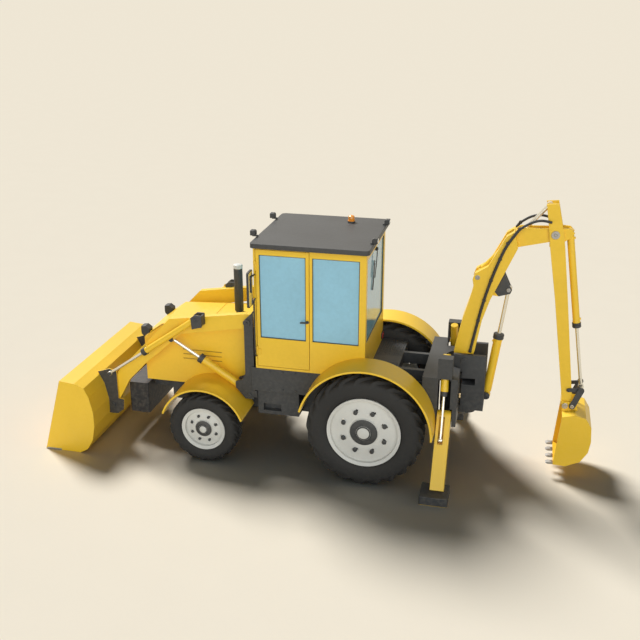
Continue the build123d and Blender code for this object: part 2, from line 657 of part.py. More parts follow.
def seat():
    base = block(560, 900, -170, 170, CAB_LOW + 30, 1600)
    cushion = block(500, 980, -240, 240, 1600, 1720)
    back = plate([(470, 1700), (600, 1700), (520, 2300), (420, 2300)], -230, 230)
    return base + cushion + back


def controls():
    column = bar((1360, 0, CAB_LOW + 30), (1230, 0, 2010), 45)
    wheel = Pos(1222, 0, 2055) * Rot(0, -12, 0) * (Cylinder(200, 26) - Cylinder(172, 30))
    wheel += Pos(1222, 0, 2055) * Rot(0, -12, 0) * Box(360, 36, 20)
    wheel += Pos(1228, 0, 2030) * Rot(0, -12, 0) * Cylinder(40, 60)
    desk = block(1290, 1440, -300, 300, 1620, 1800)
    desk += block(1380, 1440, -300, 300, CAB_LOW + 30, 1620)
    column -= block(1200, 1500, -100, 100, CAB_LOW - 50, CAB_LOW + 30)
    return column + wheel + desk


# ---- Loader ----------------------------------------------------------------------------

def loader_arms():
    outline = [(1640, 2029), ARM_KNEE_TOP, (3478, 1055), (3582, 770), (3605, 650), (3624, 600), (3640, 555), (3552, 520),
               (3498, 622), (3329, 929), (3073, 1198), ARM_KNEE_LOW, (1653, 1833), (1590, 1835)]
    arm = plate(outline, ARM_IN, ARM_OUT)
    arm += pin_y(ARM_PIVOT, 103, ARM_IN, ARM_OUT)
    arm = arm + pin_y(BUCKET_PIVOT, 47, ARM_IN, ARM_OUT)
    arm -= pin_y(ARM_PIVOT, 34.05, ARM_IN - 1, ARM_OUT + 1)
    slot = plate([(2560, 1400), (2700, 1400), (2790, 1580), (2770, 1680), (2690, 1690), (2600, 1640), (2420, 1560)],
                 LIFT_Y - 33, LIFT_Y + 33)
    arm -= slot
    bracket = plate([(2200, 1850), (2330, 1810), (2340, 1960), (2290, 2000), (2200, 2000)], ARM_OUT, ARM_OUT + 22)
    bracket += plate([(2200, 1850), (2330, 1810), (2340, 1960), (2290, 2000), (2200, 2000)],
                     TILT_Y + TILT_BARREL_R + 6, TILT_Y + TILT_BARREL_R + 22)
    bracket += block(2196, 2212, ARM_OUT, TILT_Y + TILT_BARREL_R + 22, 1860, 1990)
    bracket += pin_y(TILT_BASE, TILT_BARREL_R * PIN_SHARE - RUN_GAP, ARM_OUT, TILT_Y + TILT_BARREL_R + 26)
    arm += bracket
    arm += pin_y(BUCKET_PIVOT, 30, ARM_OUT - 1, EAR_OUT + 12)
    tube = pin_y(CROSS_TUBE, CROSS_TUBE_R, -ARM_IN - 1, ARM_IN + 1)
    return both_sides(arm) + tube


LOADER_CHAIN = [(BUCKET_TIP_X, 0), (3900, 0), (3790, 60), (3700, 210), (3656, 420), (3654, 624),
                (3700, 850), (3760, 975), (3893, 1027), (4106, 1049)]


def loader_bucket():
    shell = sheet(LOADER_CHAIN[::-1], BUCKET_SKIN, -BUCKET_HALF, BUCKET_HALF)
    ends = both_sides(plate(LOADER_CHAIN, BUCKET_HALF - BUCKET_SKIN, BUCKET_HALF))
    outline = [(3780, 1015), (3606, 1072), (3505, 1042), (3505, 640), (3425, 625), (3440, 480),
               (3530, 405), (3700, 400)]
    ear = plate(outline, EAR_IN, EAR_OUT) - plate(LOADER_CHAIN, EAR_IN - 1, EAR_OUT + 1)
    ear -= pin_y(BUCKET_PIVOT, 30.05, EAR_IN - 1, EAR_OUT + 1)
    return shell + ends + both_sides(ear)


# ---- Backhoe ---------------------------------------------------------------------------

def swing_post():
    """The casting that swings on the frame's two lugs and carries the boom."""
    body = block(POST_REAR, POST_FRONT, -POST_HALF, POST_HALF, POST_LOW, POST_SHELF)
    shelf = block(POST_REAR, -1003, -POST_HALF, POST_HALF, POST_SHELF, POST_SHELF + 55)
    cheek = block(POST_REAR, -1003, CHEEK_IN, POST_HALF, POST_SHELF, BOOM_PIVOT[1] + 85)
    post = body + shelf + both_sides(cheek)
    post -= block(SWING_X - 92, POST_FRONT + 1, -POST_HALF - 1, POST_HALF + 1, 1170 - CLEAR, 1250 + CLEAR)
    post -= Pos(SWING_X, 0, 1100) * Cylinder(SWING_PIN_R + RUN_GAP, 620)
    post -= block(POST_REAR - 5, POST_REAR + 50, -78, 78, 850, 1450)
    lug = strap((POST_REAR + 30, 960), BOOM_CYL_BASE, 46, 62, 88)
    post += both_sides(lug)
    post += pin_y(BOOM_CYL_BASE, BOOM_BARREL_R * PIN_SHARE - RUN_GAP, -92, 92)
    return post + pin_y(BOOM_PIVOT, 34, -POST_HALF - 8, POST_HALF + 8)


BOOM_FRONT = [(-994, 1590), (-1072, 2005), (-1150, 2281), (-1190, 2470), (-1172, 2560),
              (-1200, 2640), (-1352, 2740), (-1545, 3130), (-1640, 3195)]
BOOM_REAR = [(-1690, 2990), (-1402, 2302), (-1321, 2027), (-1254, 1596)]


def boom():
    foot = [(-1075, 1455), (-1000, 1530)]
    outline = foot + BOOM_FRONT + BOOM_REAR + [(-1215, 1470)]
    body = plate(outline, -BOOM_HALF, BOOM_HALF)
    body += pin_y(BOOM_PIVOT, 76, CLEAR - CHEEK_IN, CHEEK_IN - CLEAR)
    nose = plate([(-1620, 3170), (-1700, 3232), (-2060, 3245), (-2150, 3235), (-2185, 3178), (-2150, 3112),
                  (-2040, 3075), (-1690, 2990), (-1560, 3000)], -NOSE_OUT, NOSE_OUT)
    body += nose
    body += pin_y(DIPPER_PIVOT, 70, -NOSE_OUT, NOSE_OUT)
    room = DIPPER_BARREL_R * 1.25 + CLEAR
    a = DIPPER_CYL_BASE
    b = DIPPER_CYL_EYE
    d = unit(a, b)
    n = (-d[1], d[0])
    back = (a[0] - d[0] * 70, a[1] - d[1] * 70)
    far = toward(a, b, DIPPER_BARREL_LENGTH + 110)
    low, high = 66, 150
    channel = plate([(back[0] + n[0] * low, back[1] + n[1] * low), (far[0] + n[0] * low * 2, far[1] + n[1] * low * 2),
                     (far[0] - n[0] * high, far[1] - n[1] * high), (back[0] - n[0] * high, back[1] - n[1] * high)],
                    -room, room)
    slot = plate([(-1660, 2960), (-2300, 3000), (-2300, 3400), (-1660, 3400)], -NOSE_IN, NOSE_IN)
    body = body - channel - slot
    bracket = both_sides(plate([(-1560, 2620), (-1480, 2600), (-1390, 2345), (-1500, 2335), (-1640, 2380),
                                (-1658, 2425), (-1630, 2470)], 36, 62))
    body += bracket
    body += pin_y(BOOM_CYL_EYE, 24, 62, 70) + pin_y(BOOM_CYL_EYE, 24, -70, -62)
    body += pin_y(DIPPER_CYL_BASE, DIPPER_BARREL_R * PIN_SHARE - RUN_GAP, -BOOM_HALF + 2, BOOM_HALF - 2)
    body += pin_y(DIPPER_PIVOT, 36, -DIPPER_HALF - 10, DIPPER_HALF + 10)
    body -= pin_y(BOOM_PIVOT, 34.05, -260, 260)
    return body


HOSE_R = 18
HOSE_PATH = [(-1200, 1606), (-1273, 2034), (-1329, 2306), (-1397, 2574), (-1486, 2851), (-1566, 3058),
             (-1640, 3150)]


def boom_hoses():
    middle = BOOM_HALF + HOSE_R + PIN_GAP
    hose = pin_y(HOSE_PATH[0], 24, BOOM_HALF, CHEEK_IN - CLEAR)
    for a, b in zip(HOSE_PATH, HOSE_PATH[1:]):
        hose += bar((a[0], middle, a[1]), (b[0], middle, b[1]), HOSE_R)
    return both_sides(hose)


def dipper():
    outline = [(-1982, 3544), (-2124, 3558), (-2215, 3190), (-2245, 3008), (-2335, 2379), (-2512, 1071),
               (-2490, 940), (-2385, 940), (-2385, 1057), (-2182, 2366), (-2069, 2996), (-2031, 3254)]
    body = plate(outline, -DIPPER_HALF, DIPPER_HALF)
    body += pin_y(DIG_PIVOT, 50, -DIPPER_HALF, DIPPER_HALF)
    inner = DIPPER_HALF - DIPPER_PLATE
    body -= block(-2400, -1900, -inner, inner, 3030, 3700)
    body -= pin_y(DIPPER_PIVOT, 136, -inner, inner)
    web = plate([(-2174, 3010), (-2058, 3010), (-2050, 3200), (-1992, 3490), (-1996, 3538), (-2090, 3546),
                 (-2184, 3190)], 31, 45)
    body += both_sides(web)
    body -= pin_y(DIPPER_PIVOT, 36.05, -DIPPER_HALF - 1, DIPPER_HALF + 1)
    body -= pin_y(DIG_PIVOT, 28.05, -DIPPER_HALF - 1, DIPPER_HALF + 1)
    body += both_sides(pin_y(DIPPER_CYL_EYE, 22, 28.5, 45))
    ear = plate([(-2200, 3262), (-2290, 3255), (-2338, 3205), (-2290, 3140), (-2200, 3075), (-2168, 3080),
                 (-2197, 3130)], 58, inner + 5)
    body += both_sides(ear) + pin_y(BUCKET_CYL_BASE, BUCKET_BARREL_R * PIN_SHARE - RUN_GAP, -78, 78)
    body += pin_y(GUIDE_PIVOT, GUIDE_PIN_R, -DIPPER_HALF - 20, DIPPER_HALF + 20)
    return body


DIG_CHAIN = [(-2351, 186), (-2508, 180), (-2680, 262), (-2768, 410), (DIG_BACK_X, 560), (-2775, 760),
             (-2700, 880), (-2565, 915), (-2405, 874)]


def backhoe_bucket():
    shell = sheet(DIG_CHAIN[::-1], DIG_SKIN, -DIG_HALF, DIG_HALF)
    ends = both_sides(plate(DIG_CHAIN, DIG_HALF - DIG_SKIN, DIG_HALF))
    ear = plate([(-2390, 1010), (-2570, 1010), (-2600, 900), (-2405, 868)], 114, 134)
    ear = ear - plate(DIG_CHAIN, 100, 140) + pin_y(LINK_PIVOT, 34, 114, 134)
    pin = pin_y(DIG_PIVOT, 28, -142, 142)
    stub = pin_y(LINK_PIVOT, 20, 114, 160)
    return shell + ends + both_sides(ear) + pin + both_sides(stub) + bucket_teeth()


def bucket_teeth():
    teeth = None
    for i in range(4):
        y = (i - 1.5) * 178
        tooth = plate([(-2362, 186), (-2351, 206), (-2290, 208), (-2257, 196), (-2290, 184)], y - 32, y + 32)
        teeth = tooth if teeth is None else teeth + tooth
    return teeth


def guide_links():
    link = strap(GUIDE_PIVOT, BUCKET_CYL_EYE, 24, DIPPER_HALF + CLEAR, DIPPER_HALF + CLEAR + 14)
    link -= pin_y(GUIDE_PIVOT, GUIDE_PIN_R + RUN_GAP, 0, 200)
    return both_sides(link)


def bucket_links():
    link = strap(LINK_PIVOT, BUCKET_CYL_EYE, 38, 142, 158)
    link -= pin_y(LINK_PIVOT, 20.05, 0, 200)
    return both_sides(link)


# ---- Stabilisers -----------------------------------------------------------------------

def leg():
    d = unit(LEG_PIVOT, LEG_FOOT)
    n = (-d[1], d[0])
    half = LEG_DEPTH / 2
    foot = (LEG_FOOT[0], LEG_FOOT[1])
    x0, x1 = LEG_X - LEG_WIDTH / 2, LEG_X + LEG_WIDTH / 2
    body = side_plate([(LEG_PIVOT[0] + n[0] * half, LEG_PIVOT[1] + n[1] * half),
                       (foot[0] + n[0] * half, foot[1] + n[1] * half),
                       (foot[0] - n[0] * half, foot[1] - n[1] * half),
                       (LEG_PIVOT[0] - n[0] * half, LEG_PIVOT[1] - n[1] * half)], x0, x1)
    body += pin_x(LEG_PIVOT, half, x0, x1)
    body -= block(x0 - 50, x1 + 50, 0, 2000, -500, PAD_TOP)
    body -= pin_x(LEG_PIVOT, 28.05, x0 - 1, x1 + 1)
    ang = degrees(atan2(d[1], d[0]))
    pocket = Pos(STAB_X, STAB_EYE[0], STAB_EYE[1]) * Rot(ang, 0, 0) * Pos(0, -118, 38) * Box(66, 348, 184)
    body -= pocket
    pad = block(PAD_REAR, PAD_FRONT, PAD_IN, PAD_OUT, 0, PAD_TOP)
    pad = fillet(pad.edges().filter_by(Axis.Z), 15)
    return body + pad


def stab_barrel():
    d = unit(STAB_TRUNNION, STAB_EYE)
    u, e = STAB_TRUNNION, STAB_EYE
    top = (u[0] - d[0] * 275, u[1] - d[1] * 275)
    low = toward(u, e, 200)
    end = toward(u, e, 258)
    deep = (u[0] - d[0] * 240, u[1] - d[1] * 240)
    body = bar((STAB_X, *top), (STAB_X, *low), STAB_BARREL_R)
    body += bar((STAB_X, *low), (STAB_X, *end), STAB_BARREL_R - 6)
    body -= bar((STAB_X, *deep), (STAB_X, *toward(u, e, 300)), STAB_ROD_R + PIN_GAP)
    body += pin_x(u, 26, STAB_X - 58, STAB_X - 40) + pin_x(u, 26, STAB_X + 40, STAB_X + 58)
    return body


def stab_rod():
    u, e = STAB_TRUNNION, STAB_EYE
    inner = toward(e, u, 640)
    body = bar((STAB_X, *e), (STAB_X, *inner), STAB_ROD_R)
    return body + pin_x(e, 30, STAB_X - 26, STAB_X + 26)


# ---- The assembly ----------------------------------------------------------------------

def pieces():
    out = {
        "chassis_frame": chassis_frame(), "rear_frame": rear_frame(), "leg_mounts": leg_mounts(),
        "axles": axles(), "power_train": power_train(),
        "counterweight": counterweight(), "loader_towers": loader_towers(), "platform": platform(),
        "hood_body": hood_body(), "exhaust": exhaust(), "fenders": front_fenders() + rear_fenders(),
        "cab_shell": cab_shell(), "cab_glass": cab_glass(),
        "cab_roof": cab_roof(), "beacon": beacon(), "mirrors": mirrors(), "seat": seat(),
        "controls": controls(), "hood_lid": hood_lid(), "left_door": door(),
        "right_door": flip(door()), "left_door_glass": door_glass(),
        "right_door_glass": flip(door_glass()), "left_knuckle": knuckle(),
        "right_knuckle": flip(knuckle()), "loader_arms": loader_arms(),
        "loader_bucket": loader_bucket(), "swing_post": swing_post(), "boom": boom(),
        "boom_hoses": boom_hoses(), "dipper": dipper(), "backhoe_bucket": backhoe_bucket(),
        "guide_links": guide_links(), "bucket_links": bucket_links(),
        "left_leg": leg(), "right_leg": flip(leg()), "left_leg_barrel": stab_barrel(),
        "right_leg_barrel": flip(stab_barrel()), "left_leg_rod": stab_rod(),
        "right_leg_rod": flip(stab_rod()),
    }
    cylinders = (  # name, base, eye, y, barrel radius, barrel length, rod radius, rod length, boss, mirrored
        ("lift", LIFT_BASE, LIFT_EYE, LIFT_Y, LIFT_BARREL_R, LIFT_BARREL_LENGTH, LIFT_ROD_R, 1190, 30, True),
        ("tilt", TILT_BASE, TILT_EYE, TILT_Y, TILT_BARREL_R, TILT_BARREL_LENGTH, TILT_ROD_R, 1290, 24, True),
        ("boom", BOOM_CYL_BASE, BOOM_CYL_EYE, 0, BOOM_BARREL_R, BOOM_BARREL_LENGTH, BOOM_ROD_R, 800, 30, False),
        ("dipper", DIPPER_CYL_BASE, DIPPER_CYL_EYE, 0, DIPPER_BARREL_R, DIPPER_BARREL_LENGTH,
         DIPPER_ROD_R, 638, 30, False),
        ("bucket", BUCKET_CYL_BASE, BUCKET_CYL_EYE, 0, BUCKET_BARREL_R, BUCKET_BARREL_LENGTH,
         BUCKET_ROD_R, 1000, 30, False),
    )
    for name, base, eye, y, barrel_r, barrel_l, rod_r, rod_l, boss, mirrored in cylinders:
        barrel = cylinder_barrel(base, eye, y, barrel_r, rod_r, barrel_l, boss)
        rod = cylinder_rod(base, eye, y, rod_r, rod_l, boss - 2)
        barrel -= pin_y(base, barrel_r * PIN_SHARE, y - 200, y + 200)
        out[name + "_barrels" if mirrored else name + "_barrel"] = both_sides(barrel) if mirrored else barrel
        out[name + "_rods" if mirrored else name + "_rod"] = both_sides(rod) if mirrored else rod
    wheels = (  # name, axle x, side, track half, tyre radius, rim radius, width, lug depth, lugs
        ("rear_left", 0, 1, REAR_TRACK_HALF, REAR_TYRE_R, REAR_RIM_R, REAR_TYRE_W, LUG_DEPTH_REAR, 18),
        ("rear_right", 0, -1, REAR_TRACK_HALF, REAR_TYRE_R, REAR_RIM_R, REAR_TYRE_W, LUG_DEPTH_REAR, 18),
        ("front_left", WHEELBASE, 1, FRONT_TRACK_HALF, FRONT_TYRE_R, FRONT_RIM_R, FRONT_TYRE_W,
         LUG_DEPTH_FRONT, 16),
        ("front_right", WHEELBASE, -1, FRONT_TRACK_HALF, FRONT_TYRE_R, FRONT_RIM_R, FRONT_TYRE_W,
         LUG_DEPTH_FRONT, 16),
    )
    for name, x, side, track, radius, rim_r, width, depth, lugs in wheels:
        out[name + "_rim"] = wheel_at(rim(rim_r, width), x, track, radius, side)
        out[name + "_tyre"] = wheel_at(tyre(radius, rim_r, width, depth, lugs), x, track, radius, side)
    return out


os.makedirs("parts", exist_ok=True)
for name, shape in pieces().items():
    export_step(Pos(-MIDDLE_X, 0, 0) * shape, "parts/" + name + ".step")
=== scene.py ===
# %% [markdown]
# # Dressing a backhoe loader
# The machine's frame, pivots and plates come from its CAD model. This lesson adds what a
# workshop and a paint shop add: paint, rubber, glass, turned cylinders, hoses and trim.
# Everything is in metres in the CAD's own frame, so that no piece has to be fitted by eye.

# %% Load the frame
import json
from math import cos, pi, radians, sin

import bmesh
import bpy
from mathutils import Matrix, Vector


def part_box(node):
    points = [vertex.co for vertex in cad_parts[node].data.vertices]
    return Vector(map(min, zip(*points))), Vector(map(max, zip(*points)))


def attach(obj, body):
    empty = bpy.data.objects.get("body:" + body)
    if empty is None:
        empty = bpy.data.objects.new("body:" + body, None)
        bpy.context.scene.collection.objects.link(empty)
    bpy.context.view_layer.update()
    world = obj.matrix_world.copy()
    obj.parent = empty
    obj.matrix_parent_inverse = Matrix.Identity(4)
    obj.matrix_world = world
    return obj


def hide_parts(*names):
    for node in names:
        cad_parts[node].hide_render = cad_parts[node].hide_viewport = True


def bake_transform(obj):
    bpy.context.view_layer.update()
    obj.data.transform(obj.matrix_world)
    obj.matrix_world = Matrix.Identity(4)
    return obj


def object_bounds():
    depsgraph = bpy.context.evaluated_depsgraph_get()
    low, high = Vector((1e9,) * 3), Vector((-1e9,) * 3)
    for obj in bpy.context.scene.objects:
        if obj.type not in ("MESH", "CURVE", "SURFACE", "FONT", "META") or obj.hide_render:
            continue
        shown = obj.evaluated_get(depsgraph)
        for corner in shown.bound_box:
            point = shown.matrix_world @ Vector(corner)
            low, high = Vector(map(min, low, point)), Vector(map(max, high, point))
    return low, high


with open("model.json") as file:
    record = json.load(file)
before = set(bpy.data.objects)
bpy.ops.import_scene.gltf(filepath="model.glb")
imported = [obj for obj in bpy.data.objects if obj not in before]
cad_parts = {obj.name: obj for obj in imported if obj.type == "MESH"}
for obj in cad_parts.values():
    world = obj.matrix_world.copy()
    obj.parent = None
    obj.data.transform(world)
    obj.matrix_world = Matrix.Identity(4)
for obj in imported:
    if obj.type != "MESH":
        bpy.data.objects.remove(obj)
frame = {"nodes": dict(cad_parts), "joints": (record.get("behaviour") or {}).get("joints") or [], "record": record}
cad_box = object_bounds()
joints = {j["name"]: j for j in frame["joints"]}
axle_x = joints["rear_left_spin"]["pos_m"][0]
print(len(frame["nodes"]), "nodes; rear axle at x", round(axle_x, 3))


# %% [markdown]
# A machine's drawings give most sizes from the rear axle, in millimetres. One helper turns
# such a point into the frame's metres, so the numbers below read like a drawing's. Two more
# read the frame back: where a joint stands, and how far a node reaches. The last two set a
# pair of numbers off to one side, and put new data into the scene.

# %% Points of the drawing
SIDES = (("left", 1), ("right", -1))


def spot(x, y, z):
    """A point of the drawing: millimetres, with x from the rear axle."""
    return Vector((x / 1000 + axle_x, y / 1000, z / 1000))


def pivot(joint):
    """Where a joint stands on the drawing's side view: x and z."""
    x, _, z = joints[joint]["pos_m"]
    return (x - axle_x) * 1000, z * 1000


def extent(node, axis):
    """The lowest and the highest x (0), y (1) or z (2) of a node on the drawing."""
    low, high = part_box(node)
    start = axle_x if axis == 0 else 0
    return round((low[axis] - start) * 1000, 1), round((high[axis] - start) * 1000, 1)


def span(hand, near, far):
    """From near to far of the middle, on the left (1) or the right (-1), lowest first."""
    return sorted((hand * near, hand * far))


def put(name, data):
    """A new object in the scene, at its origin."""
    made = bpy.data.objects.new(name, data)
    bpy.context.scene.collection.objects.link(made)
    return made


print("front axle at", tuple(round(v) for v in pivot("front_left_spin")), "on the drawing")

# %% [markdown]
# The camera stands about three metres above the machine's roof line and looks down on its
# left rear wheel. A 50 mm lens at eleven metres keeps the long digging arm in true proportion.

# %% Camera
camera_data = bpy.data.cameras.new("camera")
camera_data.lens = 50
camera_data.sensor_width = 36
camera = put("camera", camera_data)
turn, height = radians(193.258), radians(21.149)
camera.location = (-2.542, 10.762, 6.067)
back = Vector((sin(turn) * cos(height), -cos(turn) * cos(height), sin(height)))
camera.rotation_euler = back.to_track_quat("Z", "Y").to_euler()
bpy.context.scene.camera = camera
bpy.context.scene.view_settings.view_transform = "Standard"
print("camera looks along", tuple(round(-v, 3) for v in back))

# %% [markdown]
# Light, paint and repeated shapes are all wired as node trees. A small class wraps a socket, so
# that sums are written as sums and one method adds any other node.

# %% Wiring of node trees
class Socket:
    """One output socket of a node tree, or the tree alone where socket is None."""

    def __init__(self, tree, socket=None):
        self.tree, self.socket = tree, socket

    def node(self, kind, inputs=(), out=0, **settings):
        """Add a node, fill its inputs and wrap one of its outputs."""
        made = self.tree.nodes.new(kind)
        for key, value in settings.items():
            setattr(made, key, value)
        for key, value in dict(inputs).items():
            if isinstance(value, Socket):
                self.tree.links.new(value.socket, made.inputs[key])
            else:
                made.inputs[key].default_value = value
        return Socket(self.tree, made.outputs[out])

    def _maths(self, operation, other):
        """This and a number or another socket, put through a math node."""
        return self.node("ShaderNodeMath", {0: self, 1: other}, operation=operation)

    def __add__(self, other):
        return self._maths("ADD", other)

    def __sub__(self, other):
        return self._maths("SUBTRACT", other)

    def __mul__(self, other):
        return self._maths("MULTIPLY", other)

    def __truediv__(self, other):
        return self._maths("DIVIDE", other)

    def or_else(self, other):
        """The larger of two masks."""
        return self._maths("MAXIMUM", other)

    def between(self, low, high):
        """0 at low, 1 at high and straight between them."""
        return self.node("ShaderNodeMapRange", {0: self, 1: low, 2: high})

    def mix(self, first, second):
        """The first colour where this is 0, the second where it is 1. A mix node's colour
        sockets share their names with others, so they go by number."""
        return self.node("ShaderNodeMix", {0: self, 6: first, 7: second}, out=2, data_type="RGBA")

    def ends_in(self, kind):
        """Add the tree's last node and lead this socket to it."""
        self.tree.links.new(self.socket, self.tree.nodes.new(kind).inputs[0])


print("sockets can be added, multiplied and mixed")

# %% [markdown]
# Three lights do what a soft studio does: an even sky, a broad key lamp high on the far
# front side, which draws the shadow towards the rear, and a low lamp on the near side, which
# fills the upright panels. The floor is kept out of the low lamp's light further on.

# %% Lamps and sky
SKY = 0.08
BACKDROP = (0.875, 0.793, 0.651, 1)


def far_lamp(name, towards, strength, softness):
    """A lamp so far off that its rays run side by side."""
    lamp = bpy.data.lights.new(name, "SUN")
    lamp.energy = strength
    lamp.angle = radians(softness)
    placed = put(name, lamp)
    placed.rotation_euler = Vector(towards).to_track_quat("Z", "Y").to_euler()
    return placed


far_lamp("key_lamp", (0.50, -0.44, 0.74), 3.9, 20)
fill_lamp = far_lamp("fill_lamp", (-0.25, 0.90, 0.26), 2.0, 70)
fill_lamp.data.color = (0.94, 0.98, 1.0)

world = bpy.data.worlds.new("studio")
bpy.context.scene.world = world
world.use_nodes = True
world.node_tree.nodes.clear()
sky = Socket(world.node_tree)
seen = sky.node("ShaderNodeBackground", {"Color": BACKDROP})
lit = sky.node("ShaderNodeBackground", {"Color": (0.8, 1.0, 1.2, 1), "Strength": SKY})
camera_ray, gloss_ray, clear_ray = (sky.node("ShaderNodeLightPath", out=kind)
                                    for kind in ("Is Camera Ray", "Is Glossy Ray", "Is Transmission Ray"))
looked_at = camera_ray.or_else(gloss_ray).or_else(clear_ray)
sky.node("ShaderNodeMixShader", {0: looked_at, 1: lit, 2: seen}).ends_in("ShaderNodeOutputWorld")
print("sky level", SKY)


# %% [markdown]
# Paint, iron and rubber are never one flat colour. A finish sums a broad and a fine noise for
# its tone and gloss, settles dust low down, and at its edges mixes in one more colour: rubbed
# paint, and where that colour is paler than the paint, a painted edge highlight as well.

# %% Making a finish
FINISHES = {}


def finish(name, colour, roughness, metallic=0.0, coat=0.0, alpha=1.0, specular=0.5, mottle=0.06,
           grain=900, bump=0.08, dust=0.0, dust_colour=(0.42, 0.36, 0.27, 1), round_edges=0.0, wear=0.0,
           worn_and_highlight_colour=(0.5, 0.47, 0.42, 1)):
    """A finish whose tone, gloss and skin vary over the surface, kept under its name."""
    material = bpy.data.materials.new(name)
    material.use_nodes = True
    material.node_tree.nodes.clear()
    start = Socket(material.node_tree)
    place = start.node("ShaderNodeTexCoord", out="Object")
    broad = start.node("ShaderNodeTexNoise", {"Vector": place, "Scale": 1.7, "Detail": 4.0})
    fine = start.node("ShaderNodeTexNoise", {"Vector": place, "Scale": 23.0, "Detail": 6.0})
    skin = start.node("ShaderNodeTexNoise", {"Vector": place, "Scale": float(grain), "Detail": 2.0})
    dark = tuple(c * (1 - mottle * 2.2) for c in colour[:3]) + (1,)
    light = tuple(min(c * (1 + mottle), 1) for c in colour[:3]) + (1,)
    tone = (broad * 0.6 + fine * 0.4).between(0.35, 0.65).mix(dark, light)
    gloss = (fine - 0.5) * 0.25 + roughness
    if dust:
        low = start.node("ShaderNodeSeparateXYZ", {0: place}, out="Z").between(1.3, 0.1)
        settled = (fine.between(0.42, 0.72) * (low * 0.8 + 0.2)) * dust
        tone = settled.mix(tone, dust_colour)
        gloss = gloss + settled * 0.3
    corner = None
    if round_edges:
        corner = start.node("ShaderNodeBevel", {"Radius": round_edges}, samples=4)
        if wear:
            flat = start.node("ShaderNodeNewGeometry", out="Normal")
            turned_by = start.node("ShaderNodeVectorMath", {0: corner, 1: flat}, out="Value",
                                   operation="DOT_PRODUCT")
            # Edges found from the bevelled normal take the edge colour: rubbed paint, and where that colour is
            # paler than the paint, a painted edge highlight.
            rubbed_and_highlit_edges = turned_by.between(0.97, 0.80) * fine.between(0.45, 0.62) * wear
            tone = rubbed_and_highlit_edges.mix(tone, worn_and_highlight_colour)
    relief = {"Height": skin, "Strength": bump, "Distance": 0.002}
    if corner:
        relief["Normal"] = corner
    normal = start.node("ShaderNodeBump", relief)
    shader = start.node("ShaderNodeBsdfPrincipled", {
        "Base Color": tone, "Roughness": gloss, "Normal": normal, "Metallic": metallic, "Alpha": alpha,
        "Coat Weight": coat, "Coat Roughness": 0.08, "Specular IOR Level": specular})
    shader.ends_in("ShaderNodeOutputMaterial")
    material.diffuse_color = tuple(colour[:3]) + (alpha,)
    FINISHES[name] = material
    return material


print("finishes are built from noise, dust, wear and rounded edges")

# %% [markdown]
# The yellow is a thick machine enamel: glossy, with a fine orange peel, a little road dust
# low down and rubbed edges, whose paler yellow is also a painted edge highlight. The dark grey
# is a satin frame paint, its paler edges likewise partly painted highlight. Chrome, cast iron and
# rubber follow; glass is a tinted laminate that shows little of the dim inside.

# %% Finishes
# The paler edge colours of the yellow and the dark grey are partly wear and partly a painted edge highlight.
YELLOW = finish("yellow_paint", (0.93, 0.585, 0.028), 0.40, coat=0.12, mottle=0.025, grain=420,
                bump=0.05, dust=0.06, round_edges=0.006, wear=0.28, worn_and_highlight_colour=(0.95, 0.72, 0.30, 1))
DARK = finish("dark_paint", (0.045, 0.047, 0.049), 0.50, mottle=0.10, dust=0.12, round_edges=0.005,
              wear=0.35, worn_and_highlight_colour=(0.20, 0.20, 0.19, 1))
GREY = finish("grey_paint", (0.72, 0.71, 0.66), 0.45, mottle=0.05, dust=0.25, round_edges=0.004, wear=0.2)
finish("iron", (0.040, 0.040, 0.042), 0.62, metallic=0.25, mottle=0.18, grain=300, bump=0.2, dust=0.2)
TYRE = finish("tyre_rubber", (0.018, 0.0178, 0.0175), 0.78, mottle=0.12, grain=700, bump=0.15, dust=0.12,
              dust_colour=(0.12, 0.105, 0.085, 1))
finish("window_glass", (0.35, 0.67, 0.84), 0.10, alpha=0.85, mottle=0.04, bump=0.0, coat=0.3)
CHROME = finish("chrome_rod", (0.78, 0.75, 0.66), 0.20, metallic=0.85, mottle=0.02, bump=0.02)
CLOTH = finish("seat_fabric", (0.045, 0.045, 0.050), 0.75, mottle=0.10, grain=1400, bump=0.3)
BLACK = finish("black_plastic", (0.028, 0.029, 0.031), 0.50, mottle=0.08, grain=1500, bump=0.12)
AMBER = finish("amber_plastic", (0.95, 0.33, 0.020), 0.18, coat=0.5, mottle=0.04, bump=0.02)
HOSE = finish("hose_rubber", (0.025, 0.025, 0.026), 0.55, mottle=0.08, grain=1100, bump=0.2)
LAMP_GLASS = finish("lamp_glass", (0.80, 0.82, 0.80), 0.12, coat=0.6, mottle=0.05, grain=160, bump=0.25)
RED_LENS = finish("red_lens", (0.55, 0.02, 0.015), 0.16, coat=0.5, mottle=0.05, grain=200, bump=0.2)
BARE_STEEL = finish("bare_steel", (0.42, 0.41, 0.39), 0.38, metallic=0.7, mottle=0.12, dust=0.15)
MIRROR_GLASS = finish("mirror_glass", (0.75, 0.80, 0.82), 0.06, metallic=0.9, mottle=0.02, bump=0.0)
GASKET = finish("gasket", (0.050, 0.062, 0.066), 0.60, mottle=0.08, bump=0.1)
# A darker yellow that paints the shade inside the bonnet's louvre slots: painted shade.
LOUVRE_PAINTED_SHADE = finish("louvre_shade", (0.42, 0.25, 0.012), 0.60, mottle=0.05, bump=0.1)

material_of = {s["node"]: s["material_slot"] for s in frame["record"]["subparts"]}
for node_name, node in frame["nodes"].items():
    paint = FINISHES[material_of[node_name]]
    for held in node.material_slots:
        held.material = paint
print(len(FINISHES), "finishes;", len(frame["nodes"]), "nodes painted")

# %% [markdown]
# The floor is one wide sheet of matt pale card. It has to reach the horizon, because the camera
# looks down only a little, and its tone is the backdrop's own, so no line shows where they meet.

